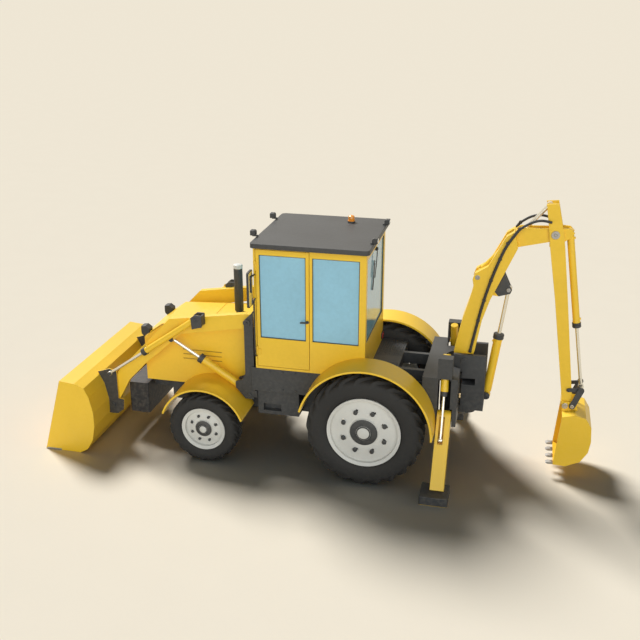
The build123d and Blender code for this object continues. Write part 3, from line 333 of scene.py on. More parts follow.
# %% Floor
FLOOR_REACH, FLOOR_LEVEL = 600, -0.001
floor_mesh = bmesh.new()
bmesh.ops.create_grid(floor_mesh, x_segments=8, y_segments=8, size=FLOOR_REACH)
floor_data = bpy.data.meshes.new("floor")
floor_mesh.to_mesh(floor_data)
floor_mesh.free()
floor = put("floor", floor_data)
floor.location.z = FLOOR_LEVEL
floor_data.materials.append(finish("pale_card", BACKDROP, 0.95, specular=0.0, mottle=0.004, bump=0.0))
unlit = bpy.data.collections.new("not_lit_by_fill")
unlit.objects.link(floor)
fill_lamp.light_linking.receiver_collection = unlit
unlit.collection_objects[0].light_linking.link_state = "EXCLUDE"
print("floor reaches", round(floor.dimensions.x / 2), "m each way")


# %% [markdown]
# Most trim is one of three forms: a plate cut to an outline, a turned shape, or a tube bent
# along a line. Each form gets a function that adds to a bmesh, so that one piece may be made
# of several. The last functions close the mesh, round its edges and fasten it to a body.

# %% Forms
UP, HERE = Vector((0, 0, 1)), Vector((0, 0, 0))
AXES = {"x": lambda u, v, w: spot(w, u, v), "y": lambda u, v, w: spot(u, w, v), "z": spot}
MERGE_WITHIN = 0.00002
SHARP_FROM, BEVEL_FROM = 0.6, radians(35)


def cut_plate(bm, outline, low, high, across="y"):
    """A plate with this outline, from low to high along one axis."""
    place = AXES[across]
    ends = [[bm.verts.new(place(u, v, w)) for u, v in outline] for w in (low, high)]
    bm.faces.new(ends[0])
    bm.faces.new(ends[1][::-1])
    for i in range(len(outline)):
        j = (i + 1) % len(outline)
        bm.faces.new((ends[0][j], ends[0][i], ends[1][i], ends[1][j]))


def box_outline(u0, u1, v0, v1, radius=0.0, steps=5):
    """A rectangle whose corners have this radius."""
    if not radius:
        return [(u0, v0), (u1, v0), (u1, v1), (u0, v1)]
    points = []
    for u, v, first in ((u1 - radius, v0 + radius, -90), (u1 - radius, v1 - radius, 0),
                        (u0 + radius, v1 - radius, 90), (u0 + radius, v0 + radius, 180)):
        for i in range(steps):
            a = radians(first + 90 * i / (steps - 1))
            points.append((u + radius * cos(a), v + radius * sin(a)))
    return points


def frame_plate(bm, outer, inner, low, high, across="y"):
    """A flat ring between two outlines with the same number of points."""
    place = AXES[across]
    loops = [[bm.verts.new(place(u, v, w)) for u, v in line]
             for line, w in ((outer, low), (inner, low), (inner, high), (outer, high))]
    for a, b in zip(loops, loops[1:] + loops[:1]):
        for i in range(len(outer)):
            j = (i + 1) % len(outer)
            bm.faces.new((a[i], a[j], b[j], b[i]))


def turned(bm, profile, origin, axis, steps=40):
    """A turned shape: profile is (distance along the axis, radius) in millimetres."""
    axis = Vector(axis).normalized()
    side = axis.orthogonal().normalized() / 1000
    rings = []
    for along, radius in profile:
        centre = origin + axis * along / 1000
        if radius <= 0:
            rings.append([bm.verts.new(centre)])
        else:
            rings.append([bm.verts.new(centre + Matrix.Rotation(2 * pi * i / steps, 3, axis) @ side * radius)
                          for i in range(steps)])
    for a, b in zip(rings, rings[1:]):
        for i in range(steps):
            j = (i + 1) % steps
            corners = dict.fromkeys((a[i % len(a)], a[j % len(a)], b[j % len(b)], b[i % len(b)]))
            if len(corners) > 2:
                bm.faces.new(list(corners))


def form(make, *shape, **more):
    """A new bmesh with one form in it."""
    bm = bmesh.new()
    make(bm, *shape, **more)
    return bm


def closed_mesh(name, bm):
    """A mesh from a bmesh, with doubles merged, faces turned outwards and sharp edges kept."""
    bmesh.ops.remove_doubles(bm, verts=bm.verts, dist=MERGE_WITHIN)
    bmesh.ops.recalc_face_normals(bm, faces=bm.faces)
    for face in bm.faces:
        face.smooth = True
    for line in bm.edges:
        line.smooth = len(line.link_faces) == 2 and line.calc_face_angle(0) < SHARP_FROM
    data = bpy.data.meshes.new(name)
    bm.to_mesh(data)
    bm.free()
    return data


def evaluated_mesh(holder):
    """A plain mesh of what an object's curve or modifiers make."""
    bpy.context.view_layer.update()
    return bpy.data.meshes.new_from_object(holder.evaluated_get(bpy.context.evaluated_depsgraph_get()))


def piece(name, bm, material, body, **more):
    """Close a bmesh and place it as a piece."""
    return place_piece(name, closed_mesh(name, bm), material, body, **more)


def place_piece(name, data, material, body, edge=0.0, slot=None, stands_for=()):
    """Put a mesh in the scene as a piece of one body, with its edges rounded."""
    made = put(name, data)
    data.materials.clear()
    data.materials.append(material)
    if edge:
        bevel = made.modifiers.new("edge", "BEVEL")
        bevel.width = edge / 1000
        bevel.segments = 2
        bevel.limit_method = "ANGLE"
        bevel.angle_limit = BEVEL_FROM
    if stands_for:
        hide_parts(*stands_for)
    if body:
        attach(made, body)
    return made


def bent_tube(name, points, radius, material, body, slot=None):
    """A round tube or hose along a smooth line through the drawing's points."""
    curve = bpy.data.curves.new(name, "CURVE")
    curve.dimensions = "3D"
    line = curve.splines.new("NURBS")
    line.points.add(len(points) - 1)
    for target, point in zip(line.points, points):
        target.co = (*spot(*point), 1)
    line.order_u = 3
    line.use_endpoint_u = True
    line.resolution_u = 8
    curve.bevel_depth = radius / 1000
    curve.bevel_resolution = 4
    curve.use_fill_caps = True
    holder = put(name + "_line", curve)
    data = evaluated_mesh(holder)
    bpy.data.objects.remove(holder)
    data.shade_smooth()
    return place_piece(name, data, material, body, slot=slot)


print("forms: plate, ring, turned shape, tube")


# %% [markdown]
# What repeats is made by Geometry Nodes. One tree sets copies round an axle, as for lugs and
# wheel nuts. A second sets a copy at each of a list of points, as for bolts. Both take the
# copied shape as an object input, and end as real geometry with its material.

# %% Trees that repeat a shape
def new_tree(name, **inputs):
    """A Geometry Nodes tree with named inputs: the tree's own socket, and each input's by name."""
    tree = bpy.data.node_groups.new(name, "GeometryNodeTree")
    for label, kind in inputs.items():
        tree.interface.new_socket(label, in_out="INPUT", socket_type="NodeSocket" + kind)
    tree.interface.new_socket("Geometry", in_out="OUTPUT", socket_type="NodeSocketGeometry")
    given = tree.nodes.new("NodeGroupInput")
    return Socket(tree), {label: Socket(tree, given.outputs[label]) for label in inputs}


def close_tree(copies, material):
    """Make the copies real, give them their material and end the tree."""
    real = copies.node("GeometryNodeRealizeInstances", {"Geometry": copies})
    painted = real.node("GeometryNodeSetMaterial", {"Geometry": real, "Material": material})
    painted.ends_in("NodeGroupOutput")
    return copies.tree


def ring_tree():
    """Copies of Shape turned round the y axis through Centre, Count of them."""
    start, given = new_tree("copies_round_an_axle", Geometry="Geometry", Shape="Object", Count="Int",
                            Phase="Float", Centre="Vector", Material="Material")
    points = start.node("GeometryNodePoints", {"Count": given["Count"]})
    shape = start.node("GeometryNodeObjectInfo", {"Object": given["Shape"]}, out="Geometry")
    angle = start.node("GeometryNodeInputIndex") / given["Count"] * (2 * pi) + given["Phase"]
    turn_by = start.node("ShaderNodeCombineXYZ", {"Y": angle})
    copies = start.node("GeometryNodeInstanceOnPoints", {"Points": points, "Instance": shape,
                                                         "Rotation": turn_by})
    moved = start.node("GeometryNodeTransform", {"Geometry": copies, "Translation": given["Centre"]})
    return close_tree(moved, given["Material"])


def points_tree():
    """A copy of Shape at each point of the geometry."""
    start, given = new_tree("copies_at_points", Geometry="Geometry", Shape="Object", Material="Material")
    shape = start.node("GeometryNodeObjectInfo", {"Object": given["Shape"]}, out="Geometry")
    copies = start.node("GeometryNodeInstanceOnPoints", {"Points": given["Geometry"], "Instance": shape})
    return close_tree(copies, given["Material"])


ROUND_AXLE, AT_POINTS = ring_tree(), points_tree()


def repeated(name, bm, tree, material, body, points=((0, 0, 0),), slot=None, **inputs):
    """Repeat a shape by a tree, as one plain mesh that rides on a body."""
    shape = put(name + "_shape", closed_mesh(name + "_shape", bm))
    seeds = bpy.data.meshes.new(name + "_seeds")
    seeds.from_pydata([tuple(p) for p in points], [], [])
    holder = put(name + "_seeds", seeds)
    modifier = holder.modifiers.new("copies", "NODES")
    modifier.node_group = tree
    for item in tree.interface.items_tree:
        value = dict(inputs, Shape=shape, Material=material).get(item.name)
        if item.in_out == "INPUT" and value is not None:
            modifier[item.identifier] = value
    data = evaluated_mesh(holder)
    holder.modifiers.remove(modifier)
    for old in (holder, shape):
        bpy.data.objects.remove(old)
    return place_piece(name, data, material, body, slot=slot)


print("trees:", ROUND_AXLE.name, AT_POINTS.name)

# %% [markdown]
# A tractor tyre is a turned carcass with a soft bulge at the sidewall, and two rows of bars
# that run from the middle to the shoulder, set half a pitch apart, so that one is always
# leaving the ground as the next lands. The carcass is turned; the bars are copied round it.

# %% Tyres
WHEELS = {}
for name in ("rear_left", "rear_right", "front_left", "front_right"):
    low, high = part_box(name + "_tyre")
    rim_low, rim_high = extent(name + "_rim", 2)
    WHEELS[name] = dict(middle=Vector(joints[name + "_spin"]["pos_m"]), tip=(high.x - low.x) * 500,
                        half=(high.y - low.y) * 500, bore=round((rim_high - rim_low) / 2),
                        side=1 if "left" in name else -1, body=name + "_wheel")

# by axle: height of the bars, bars in a row, their width
TREAD = {"rear": (36, 21, 52), "front": (24, 19, 36)}
# share of the way from bore to crown, share of the half width
CARCASS = ((0.0, 0.74), (0.05, 0.84), (0.14, 0.93), (0.30, 0.99), (0.48, 1.0), (0.66, 0.985),
           (0.80, 0.95), (0.90, 0.87), (0.955, 0.76), (0.985, 0.60), (1.0, 0.30), (1.0, 0.0))


def bar_lug(bm, crown, tip, half, width, hand, lean=0.30):
    """One tread bar at the top of the wheel, about the wheel's middle."""
    rows = []
    for share in (-0.06, 0.1, 0.3, 0.5, 0.7, 0.86, 0.96, 1.0):
        y = hand * share * half
        angle = lean * share ** 2 * 0.6 + lean * share * 0.55
        fall = max(share - 0.72, 0) / 0.28
        top = tip - (tip - crown) * 0.15 * max(share, 0) - (tip - crown) * 2.6 * fall ** 2
        bottom = crown - 14 - (tip - crown) * 3.2 * fall ** 1.6
        thick = width * (1.25 - 0.3 * max(share, 0))
        row = []
        for radius, spread in ((bottom, 1.25), (top, 0.82)):
            for sign in (-1, 1):
                a = angle + sign * thick * spread / radius / 2
                row.append(bm.verts.new(Vector((radius * sin(a), y, radius * cos(a))) / 1000))
        rows.append(row)
    for a, b in zip(rows, rows[1:]):
        for i, j in ((0, 1), (1, 3), (3, 2), (2, 0)):
            bm.faces.new((a[i], a[j], b[j], b[i]))
    for row in (rows[0], rows[-1]):
        bm.faces.new((row[0], row[1], row[3], row[2]))


for name, wheel in WHEELS.items():
    bar_height, count, bar_width = TREAD[name.split("_")[0]]
    crown = wheel["tip"] - bar_height
    profile = [(s * w * wheel["half"], wheel["bore"] + 1 + f * (crown - wheel["bore"] - 1))
               for s, line in ((-1, CARCASS), (1, CARCASS[::-1])) for f, w in line]
    profile.append(profile[0])
    piece(name + "_carcass", form(turned, profile, wheel["middle"], (0, 1, 0), steps=96), TYRE,
          wheel["body"], stands_for=(name + "_tyre",))
    for row, hand, phase in (("_bars_in", -1, 0.0), ("_bars_out", 1, pi / count)):
        lug = form(bar_lug, crown, wheel["tip"], wheel["half"] * 0.985, bar_width, hand)
        repeated(name + row, lug, ROUND_AXLE, TYRE, wheel["body"], Count=count,
                 Phase=phase, Centre=tuple(wheel["middle"]))
print("tyres:", {k: round(w["tip"]) for k, w in WHEELS.items()})

# %% [markdown]
# Each disc carries a raised dark ring, a pale cap over the bearing and a circle of wheel
# nuts. A nut is a short round boss with a stud, copied round the axle. Their radii are shares
# of the wheel's bore, and they stand out from the middle plane by the sizes named here.

# %% Hubs and wheel nuts
RIM_IN, FLANGE_IN, DISC_IN, DISC_RISE = 28, 18, 70, 29
for name, wheel in WHEELS.items():
    bore, middle, body = wheel["bore"], wheel["middle"], wheel["body"]
    axle = Vector((0, wheel["side"], 0))
    rim = wheel["half"] - RIM_IN
    flange = rim - FLANGE_IN
    cap = [(rim - 6, 0), (rim - 6, bore * 0.165), (rim + 12, bore * 0.16), (rim + 20, bore * 0.12),
           (rim + 23, 0)]
    piece(name + "_hub_cap", form(turned, cap, middle, axle), GREY, body, edge=1.5)
    ring = [(flange - 4, bore * 0.16), (rim + 9, bore * 0.16), (rim + 9, bore * 0.19),
            (flange + 12, bore * 0.225), (flange + 8, bore * 0.34), (flange + 2, bore * 0.375),
            (flange - 8, bore * 0.375), (flange - 4, bore * 0.16)]
    piece(name + "_hub_ring", form(turned, ring, middle, axle), DARK, body)
    seat, size = rim - DISC_IN + DISC_RISE, bore * 0.062
    nut = [(seat - 6, 0), (seat - 6, size), (seat + size, size * 0.94), (seat + size * 1.1, size * 0.6),
           (seat + size * 1.3, size * 0.5), (seat + size * 1.3, 0)]
    top_nut = form(turned, nut, Vector((0, 0, bore * 0.6 / 1000)), axle, steps=16)
    repeated(name + "_nuts", top_nut, ROUND_AXLE, DARK, body, Count=8, Phase=pi / 8,
             Centre=tuple(middle))
print("hubs, rings and nuts on", len(WHEELS), "wheels")

# %% [markdown]
# A hydraulic cylinder is all turned work: a boss on the base pin, a painted barrel, a dark
# gland with its wiper, and a chromed rod that ends in an eye. Two ports stand on the barrel
# for its hoses. Its base pin is the joint that the barrel turns on, and barrel and rod ride on
# their own bodies, so they slide as one would expect.

# %% Hydraulic cylinders
# where each rod is pinned, on the side view
EYES = {"lift": (2690, 1580), "tilt": (3575, 1030), "boom": (-1618, 2425), "dipper": (-2020, 3520),
        "bucket": (-2612, 1192)}
# name, distance from the middle, barrel radius, barrel length, rod radius, rod length, half
# width of the bosses, side that the ports are on
CYLINDERS = (
    ("lift", 575, 52, 775, 25, 1190, 30, 1),
    ("tilt", 692, 42, 900, 19, 1290, 24, 1),
    ("boom", 0, 55, 800, 25, 800, 30, -1),
    ("dipper", 0, 46, 600, 24, 638, 30, -1),
    ("bucket", 0, 44, 1170, 22, 1000, 30, -1),
)


def barrel_profile(radius, length, rod_radius):
    """The barrel's tube from beside its base pin to its gland."""
    return [(radius * 0.55, 0), (radius * 0.55, radius * 0.72), (radius * 0.95, radius * 0.97),
            (radius * 1.3, radius), (length - 22, radius), (length - 20, radius * 1.07),
            (length, radius * 1.07), (length, rod_radius + 2), (length - 30, rod_radius + 1),
            (length - 30, 0)]


def gland_profile(radius, length, rod_radius):
    """The screwed gland, with two grooves and the wiper round the rod."""
    wide = radius * 1.24
    return [(length - 1, rod_radius + 1), (length - 1, wide - 3), (length + 2, wide), (length + 20, wide),
            (length + 22, wide - 4), (length + 28, wide - 4), (length + 30, wide), (length + 58, wide),
            (length + 64, wide - 5), (length + 70, rod_radius + 7), (length + 70, rod_radius + 1),
            (length - 1, rod_radius + 1)]


def boss_profile(half, radius, chamfer):
    """A boss across a pin, as wide on both sides, with a chamfer round each end."""
    return [(-half, 0), (-half, radius - chamfer), (3 - half, radius), (half - 3, radius),
            (half, radius - chamfer), (half, 0)]


def rod_profile(reach, length, radius):
    """The rod, from inside its barrel to the narrower neck of its eye."""
    return [(reach - length, 0), (reach - length, radius), (reach - radius * 1.2, radius),
            (reach - radius * 1.1, radius * 0.8), (reach, radius * 0.8), (reach, 0)]


for tag, out_y, radius, length, rod_radius, rod_length, boss, port_side in CYLINDERS:
    plural = "s" if out_y else ""
    barrel_node, rod_node = tag + "_barrel" + plural, tag + "_rod" + plural
    barrel, gland, rod = bmesh.new(), bmesh.new(), bmesh.new()
    base, eye = pivot(tag + "_barrel_turn"), EYES[tag]
    for y in (out_y, -out_y) if out_y else (0,):
        foot, top = spot(base[0], y, base[1]), spot(eye[0], y, eye[1])
        along = (top - foot).normalized()
        turned(barrel, barrel_profile(radius, length, rod_radius), foot, along)
        turned(barrel, boss_profile(boss, radius * 0.94, radius * 0.08), foot, (0, 1, 0))
        across = along.cross(Vector((0, 1, 0))) * port_side
        for step in (radius * 1.9, length - 45):
            turned(barrel, [(radius * 0.8, 0), (radius * 0.8, 15), (radius + 12, 15), (radius + 14, 12),
                            (radius + 14, 0)], foot + along * step / 1000, across, steps=16)
        turned(gland, gland_profile(radius, length, rod_radius), foot, along)
        turned(rod, rod_profile((top - foot).length * 1000, rod_length, rod_radius), foot, along)
        turned(rod, boss_profile(boss - 2, rod_radius * 1.6, rod_radius * 0.1), top, (0, 1, 0))
    piece(barrel_node + "_turned", barrel, YELLOW, barrel_node, stands_for=(barrel_node,))
    piece(tag + "_glands", gland, DARK, barrel_node)
    piece(rod_node + "_turned", rod, CHROME, rod_node, stands_for=(rod_node,))
print("cylinders:", [c[0] for c in CYLINDERS])

# %% [markdown]
# The stabilisers' cylinders hang from trunnions and lean outwards to the legs. They are
# shorter and plainer: a barrel on its trunnion pin, a grooved gland and a rod. Each leg's foot
# wears a dark steel shoe.

# %% Stabiliser cylinders
for side, hand in SIDES:
    foot, eye = Vector(joints[side + "_leg_barrel_turn"]["pos_m"]), spot(-940, hand * 855, 652)
    along = (eye - foot).normalized()
    reach = (eye - foot).length * 1000
    node = side + "_leg_barrel"
    bm = bmesh.new()
    turned(bm, [(-275, 0), (-275, 42), (-268, 50), (192, 50), (192, 22), (150, 21), (150, 0)], foot, along)
    turned(bm, [(-57, 0), (-57, 25), (-40, 26), (40, 26), (57, 25), (57, 0)], foot, (1, 0, 0))
    piece(node + "_turned", bm, YELLOW, node, stands_for=(node,))
    gland = [(191, 21), (191, 44), (214, 44), (216, 40), (222, 40), (224, 44), (250, 44), (258, 27),
             (258, 21), (191, 21)]
    piece(side + "_leg_gland", form(turned, gland, foot, along), DARK, node)
    node = side + "_leg_rod"
    bm = bmesh.new()
    turned(bm, [(reach - 640, 0), (reach - 640, 20), (reach - 24, 20), (reach - 22, 17), (reach, 17),
                (reach, 0)], foot, along)
    turned(bm, boss_profile(25, 30, 2), eye, (1, 0, 0))
    piece(node + "_turned", bm, CHROME, node, stands_for=(node,))
    sole = box_outline(-1107, -753, *span(hand, 998, 1347), 16)
    piece(side + "_pad_shoe", form(cut_plate, sole, 2, 114.5, across="z"), DARK, side + "_leg", edge=4)
print("stabilisers dressed")

# %% [markdown]
# Every pivot shows the end of its pin: a keeper disc with a chamfer and one bolt in it. They
# are turned on both sides of the machine and joined into one piece for each body.

# %% Pin ends
# body, then for each pin: where it stands, outer face from the middle, radius
PINS = {
    "chassis": ((pivot("arms_lift"), 668, 48), (pivot("lift_barrel_turn"), 666, 34)),
    "arms": ((pivot("tilt_barrel_turn"), 760, 30), (EYES["lift"], 620, 36),
             (pivot("loader_bucket_tilt"), 659, 44)),
    "loader_bucket": ((EYES["tilt"], 735, 26),),
    "post": ((pivot("boom_swing_up"), 251, 46), (pivot("boom_barrel_turn"), 92, 32)),
    "boom": ((pivot("dipper_reach"), 118, 50), (pivot("dipper_barrel_turn"), 150, 30),
             (EYES["boom"], 70, 26)),
    "dipper": ((pivot("guide_links_turn"), 128, 20),),
    "dig_bucket": ((pivot("dig_bucket_turn"), 142, 38), (pivot("bucket_links_turn"), 160, 26)),
}
for body, pins in PINS.items():
    bm = bmesh.new()
    for (x, z), y, radius in pins:
        for _, hand in SIDES:
            turned(bm, [(y - 12, 0), (y - 12, radius), (y + 4, radius), (y + 7, radius - 4),
                        (y + 7, radius * 0.4), (y + 5, radius * 0.36), (y + 14, radius * 0.3), (y + 15, 0)],
                   spot(x, 0, z), (0, hand, 0), steps=28)
    metal = BARE_STEEL if body in ("boom", "dig_bucket") else DARK
    piece(body + "_pin_ends", bm, metal, body, slot="iron")

# %% [markdown]
# Each pane sits in a black rubber gasket. It is a flat ring that fills the edge of the
# opening, so it hides where glass and steel meet, with rounded inner corners.

# %% Window gaskets
HEAD, SCREEN_SILL, SILL = 2858, 1850, 1755
# piece, body, opening across, opening up, depth, axis that it looks along
PANES = [("front_gasket", "chassis", (-610, 610), (SCREEN_SILL, HEAD), (1475, 1488), "x"),
         ("rear_gasket", "chassis", (-610, 610), (SILL, HEAD), (73, 86), "x")]
for side, hand in SIDES:
    depth = span(hand, 673, 686)
    PANES.append((side + "_side_gasket", "chassis", (148, 741), (SILL, HEAD), depth, "y"))
    PANES.append((side + "_door_gasket", side + "_door", (826, 1423), (SILL, HEAD), depth, "y"))
for name, body, (u0, u1), (v0, v1), depth, axis in PANES:
    outer = box_outline(u0 - 3, u1 + 3, v0 - 3, v1 + 3, 10, steps=6)
    inner = box_outline(u0 + 8, u1 - 8, v0 + 8, v1 - 8, 14, steps=6)
    piece(name, form(frame_plate, outer, inner, *depth, across=axis), GASKET, body, edge=2,
          slot="black_plastic")
print(len(PANES), "gaskets")

# %% [markdown]
# The cab's small fittings: a handle on a round rose and a grab rail for each door, mirror
# glass, wipers front and rear, a roof panel with four lamps, and a domed beacon.

# %% Cab fittings
DOOR_SKIN, GLASS_PROUD = 691, 12
ROSE = [(-2, 0), (-2, 21), (6, 21), (9, 16), (9, 10), (26, 9), (28, 0)]
# along the door, out from its skin, up
HANDLE = ((800, 24, 2017), (820, 27, 2018), (860, 26, 2016), (892, 20, 2010))
GRAB_RAIL = ((1484, 1, 1500), (1486, 36, 1505), (1487, 44, 1540), (1487, 44, 1900), (1487, 44, 2240),
             (1486, 36, 2275), (1484, 1, 2280))
for side, hand in SIDES:
    y, door = hand * DOOR_SKIN, side + "_door"
    rose = form(turned, ROSE, spot(805, y, 2017), (0, hand, 0), steps=24)
    piece(side + "_handle_rose", rose, DARK, door, edge=1)
    bent_tube(side + "_door_handle", [(x, y + hand * off, z) for x, off, z in HANDLE], 12,
              DARK, door)
    bent_tube(side + "_grab_rail", [(x, y + hand * off, z) for x, off, z in GRAB_RAIL], 10,
              BLACK, "chassis")
    mirror = form(cut_plate, box_outline(*span(hand, 734, 888), 2228, 2667, 24), 1496.5, 1500.5, across="x")
    piece(side + "_mirror_glass", mirror, MIRROR_GLASS, "chassis", edge=1, slot="chrome_rod")

# name, glass, foot and tip of the wiper up the glass, way that the glass faces
for name, glass_x, foot_z, tip_z, facing in (("front_wiper", 1484, 1862, 2520, 1),
                                             ("rear_wiper", 77, 2830, 2330, -1)):
    x, sweep = glass_x + facing * GLASS_PROUD, tip_z - foot_z
    bent_tube(name + "_arm", [(x + facing * 10, 0, foot_z), (x + facing * 16, 20, foot_z + sweep * 0.2),
                              (x + facing * 8, 130, foot_z + sweep * 0.7)],
              6, BLACK, "chassis")
    bent_tube(name + "_blade", [(glass_x + facing * 4, 60, foot_z + sweep * 0.28),
                                (glass_x + facing * 5, 120, foot_z + sweep * 0.65),
                                (glass_x + facing * 4, 180, tip_z)],
              7, HOSE, "chassis")
    hub = form(turned, [(-14, 0), (-14, 26), (10, 26), (22, 16), (24, 0)], spot(x, 0, foot_z),
               (facing, 0, 0), steps=24)
    piece(name + "_pivot", hub, BLACK, "chassis")

ROOF_LOW, ROOF_TOP = 2959, 3021
BEACON = (495, -499)
roof, lenses = bmesh.new(), bmesh.new()
cut_plate(roof, box_outline(19, 1520, -776, 776, 60, 8), ROOF_LOW, ROOF_TOP, across="z")
turned(roof, [(-1, 0), (-1, 52), (20, 52), (20, 0)], spot(*BEACON, ROOF_TOP), UP)
for x, out_y, facing in ((1560, 443, 1), (6, 458, -1)):
    case = [(-34, 3036), (34, 3036), (34, 3101), (-20, 3101), (-34, 3085)]
    stalk = [(-60, 3020), (14, 3020), (14, 3040), (-60, 3040)]
    for y in (out_y, -out_y):
        for outline, half in ((case, 40), (stalk, 14)):
            cut_plate(roof, [(x + facing * u, z) for u, z in outline], y - half, y + half)
        cut_plate(lenses, box_outline(y - 32, y + 32, 3043, 3094, 10),
                  *sorted((x + facing * 30, x + facing * 36)), across="x")
piece("roof_panel", roof, DARK, "chassis", edge=5, stands_for=("cab_roof",))
piece("roof_lenses", lenses, LAMP_GLASS, "chassis", edge=2, slot="chrome_rod")

dome = [(0, 0), (0, 50), (10, 50), (12, 44), (52, 43), (66, 38), (75, 24), (78, 0)]
piece("beacon_dome", form(turned, dome, spot(*BEACON, ROOF_TOP + 20), UP), AMBER, "chassis",
      stands_for=("beacon",))
print("cab fittings done")

# %% [markdown]
# The bonnet shows three louvres on each side, drawn as dark-yellow plates set in their slots as
# painted shade, a grille of upright bars behind the nose slots, two headlamps in dark cases, and
# a stack with a pale rain cap.

# %% Bonnet fittings
GRILLE_AT, GRILLE_BARS, LAMP_FACE = 3131, 31, 3168
STACK = (1965, -100, 1600)
hood_side = extent("hood_body", 1)[1]
for side, hand in SIDES:
    bm = bmesh.new()
    # Dark-yellow plates just inside the bonnet's side, standing for the shade in the louvre slots: painted shade.
    for z in (1240, 1305, 1370):
        cut_plate(bm, box_outline(2052, 2598, z + 1, z + 13), *span(hand, hood_side - 5.5, hood_side - 1.5))
    piece(side + "_louvre_shade", bm, LOUVRE_PAINTED_SHADE, "chassis", slot="yellow_paint")
    low_y, high_y = span(hand, 366, 452)
    opening = box_outline(low_y, high_y, 1572, 1656, 18)
    piece(side + "_headlamp_glass", form(cut_plate, opening, LAMP_FACE, LAMP_FACE + 8, across="x"),
          LAMP_GLASS, "lid", edge=3, slot="chrome_rod")
    bm = bmesh.new()
    frame_plate(bm, box_outline(low_y - 9, high_y + 9, 1563, 1665, 20), opening,
                LAMP_FACE - 2, LAMP_FACE + 11, across="x")
    cut_plate(bm, [(3058, 1585), (3138, 1529), (3141, 1528), (3174, 1558), (3174, 1666), (3113, 1674),
                   (3058, 1634)], *span(hand, 353, 465))
    piece(side + "_headlamp_case", bm, BLACK, "lid", edge=3)

bar = form(turned, [(-240, 0), (-240, 3), (270, 3), (270, 0)], spot(GRILLE_AT, 0, 1230), UP, steps=6)
repeated("grille_bars", bar, AT_POINTS, DARK, "chassis",
         points=[(0, (i - GRILLE_BARS // 2) * 0.02, 0) for i in range(GRILLE_BARS)])
pipe = [(0, 0), (0, 44), (192, 44), (194, 58), (200, 60), (826, 60), (830, 56), (832, 0)]
piece("exhaust_stack", form(turned, pipe, spot(*STACK), UP), DARK, "chassis", stands_for=("exhaust",))
cap = [(800, 0), (800, 62), (838, 63), (850, 58), (857, 40), (858, 0)]
piece("exhaust_cap", form(turned, cap, spot(*STACK), UP), GREY, "chassis")
print("bonnet fittings done")

# %% [markdown]
# The loader bucket wears a bolted cutting edge of bare steel, and dark ears carry its pins.
# The digging bucket has forged teeth; here each gets its two bolts and a bright cap.

# %% Bucket edges and teeth
blade = form(cut_plate, [(4180, 0.5), (4180, 24), (4392, 24), (4412, 6), (4414, 0.5)], -1123, 1123)
piece("cutting_edge", blade, BARE_STEEL, "loader_bucket", edge=1.5, slot="iron")
bolt = form(turned, [(0, 0), (0, 17), (8, 17), (11, 13), (12, 0)], HERE, UP, steps=12)
repeated("edge_bolts", bolt, AT_POINTS, BARE_STEEL, "loader_bucket", slot="iron",
         points=[spot(4240, y, 23) for y in range(-1040, 1041, 130)])
EAR = [(3780, 1015), (3606, 1072), (3505, 1042), (3505, 640), (3425, 625), (3440, 480), (3530, 405),
       (3700, 400), (3654, 424), (3652, 624), (3698, 850)]
bm = bmesh.new()
for _, hand in SIDES:
    for y in (625.5, 647):
        cut_plate(bm, EAR, *span(hand, y, y + 1.6))
piece("bucket_ears", bm, DARK, "loader_bucket")

TEETH, TOOTH_PITCH = 4, 178
bm = bmesh.new()
for i in range(TEETH):
    y = (i - (TEETH - 1) / 2) * TOOTH_PITCH
    cut_plate(bm, [(-2352, 184), (-2350, 209), (-2290, 211), (-2256, 197), (-2290, 181)], y - 34, y + 34)
    for off in (-14, 14):
        turned(bm, [(0, 0), (0, 12), (9, 11), (10, 0)], spot(-2330, y + off, 208), UP, steps=6)
piece("tooth_caps", bm, BARE_STEEL, "dig_bucket", edge=2, slot="iron")
print("bucket edges, ears and teeth done")

# %% [markdown]
# The hoses that feed the digging arm lie along the boom's flanks. They leave the post through
# round fittings, follow the boom in one long curve, and cross to the dipper in a free bend.
# That last stretch rides on no body; it is fixed where it lies in this pose.

# %% Digging-arm hoses
FLANK = [(-1200, 1606), (-1273, 2034), (-1329, 2306), (-1397, 2574), (-1486, 2851), (-1566, 3058),
         (-1694, 3241)]
for side, hand in SIDES:
    y = hand * 168.5
    bent_tube(side + "_boom_hose", [(x, y, z) for x, z in FLANK], 18, HOSE, "boom")
    crossing = bent_tube(side + "_elbow_hose",
                         [(-1688, y, 3234), (-1782, y, 3308), (-1890, hand * 150, 3350),
                          (-1980, hand * 132, 3352), (-2060, hand * 122, 3330)],
                         16, HOSE, None)
    spot(-1700, y, 3240)
    spot(-2040, y, 3340)
    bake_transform(crossing)
bm = bmesh.new()
for _, hand in SIDES:
    for x, z in (FLANK[0], FLANK[-1]):
        turned(bm, [(150, 0), (150, 22), (176, 22), (180, 18), (184, 0)], spot(x, 0, z), (0, hand, 0),
               steps=20)
    for x, z in FLANK[1:-1]:
        cut_plate(bm, [(x - 22, z - 16), (x + 22, z - 4), (x + 18, z + 12), (x - 26, z)],
                  *span(hand, 149, 189))
piece("hose_clamps", bm, BLACK, "boom", edge=3)
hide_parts("boom_hoses")
print("hoses: two along the boom, two over its end")

# %% [markdown]
# The driver's seat is two crowned pads on a steel pedestal. A pad starts as a slightly small
# box with rounded plan corners, is remeshed to an even skin, and cloth simulation under air
# pressure swells it until its seams hold it. The swelling is capped, so it stays in its place.

# %% Seat pads
SKIN, CLOTH_STEPS, SWELL_CAP = 0.010, 20, 0.022
CHANNEL_AT, CHANNEL_WIDTH, CHANNEL_DEPTH = 0.075, 0.014, 0.007


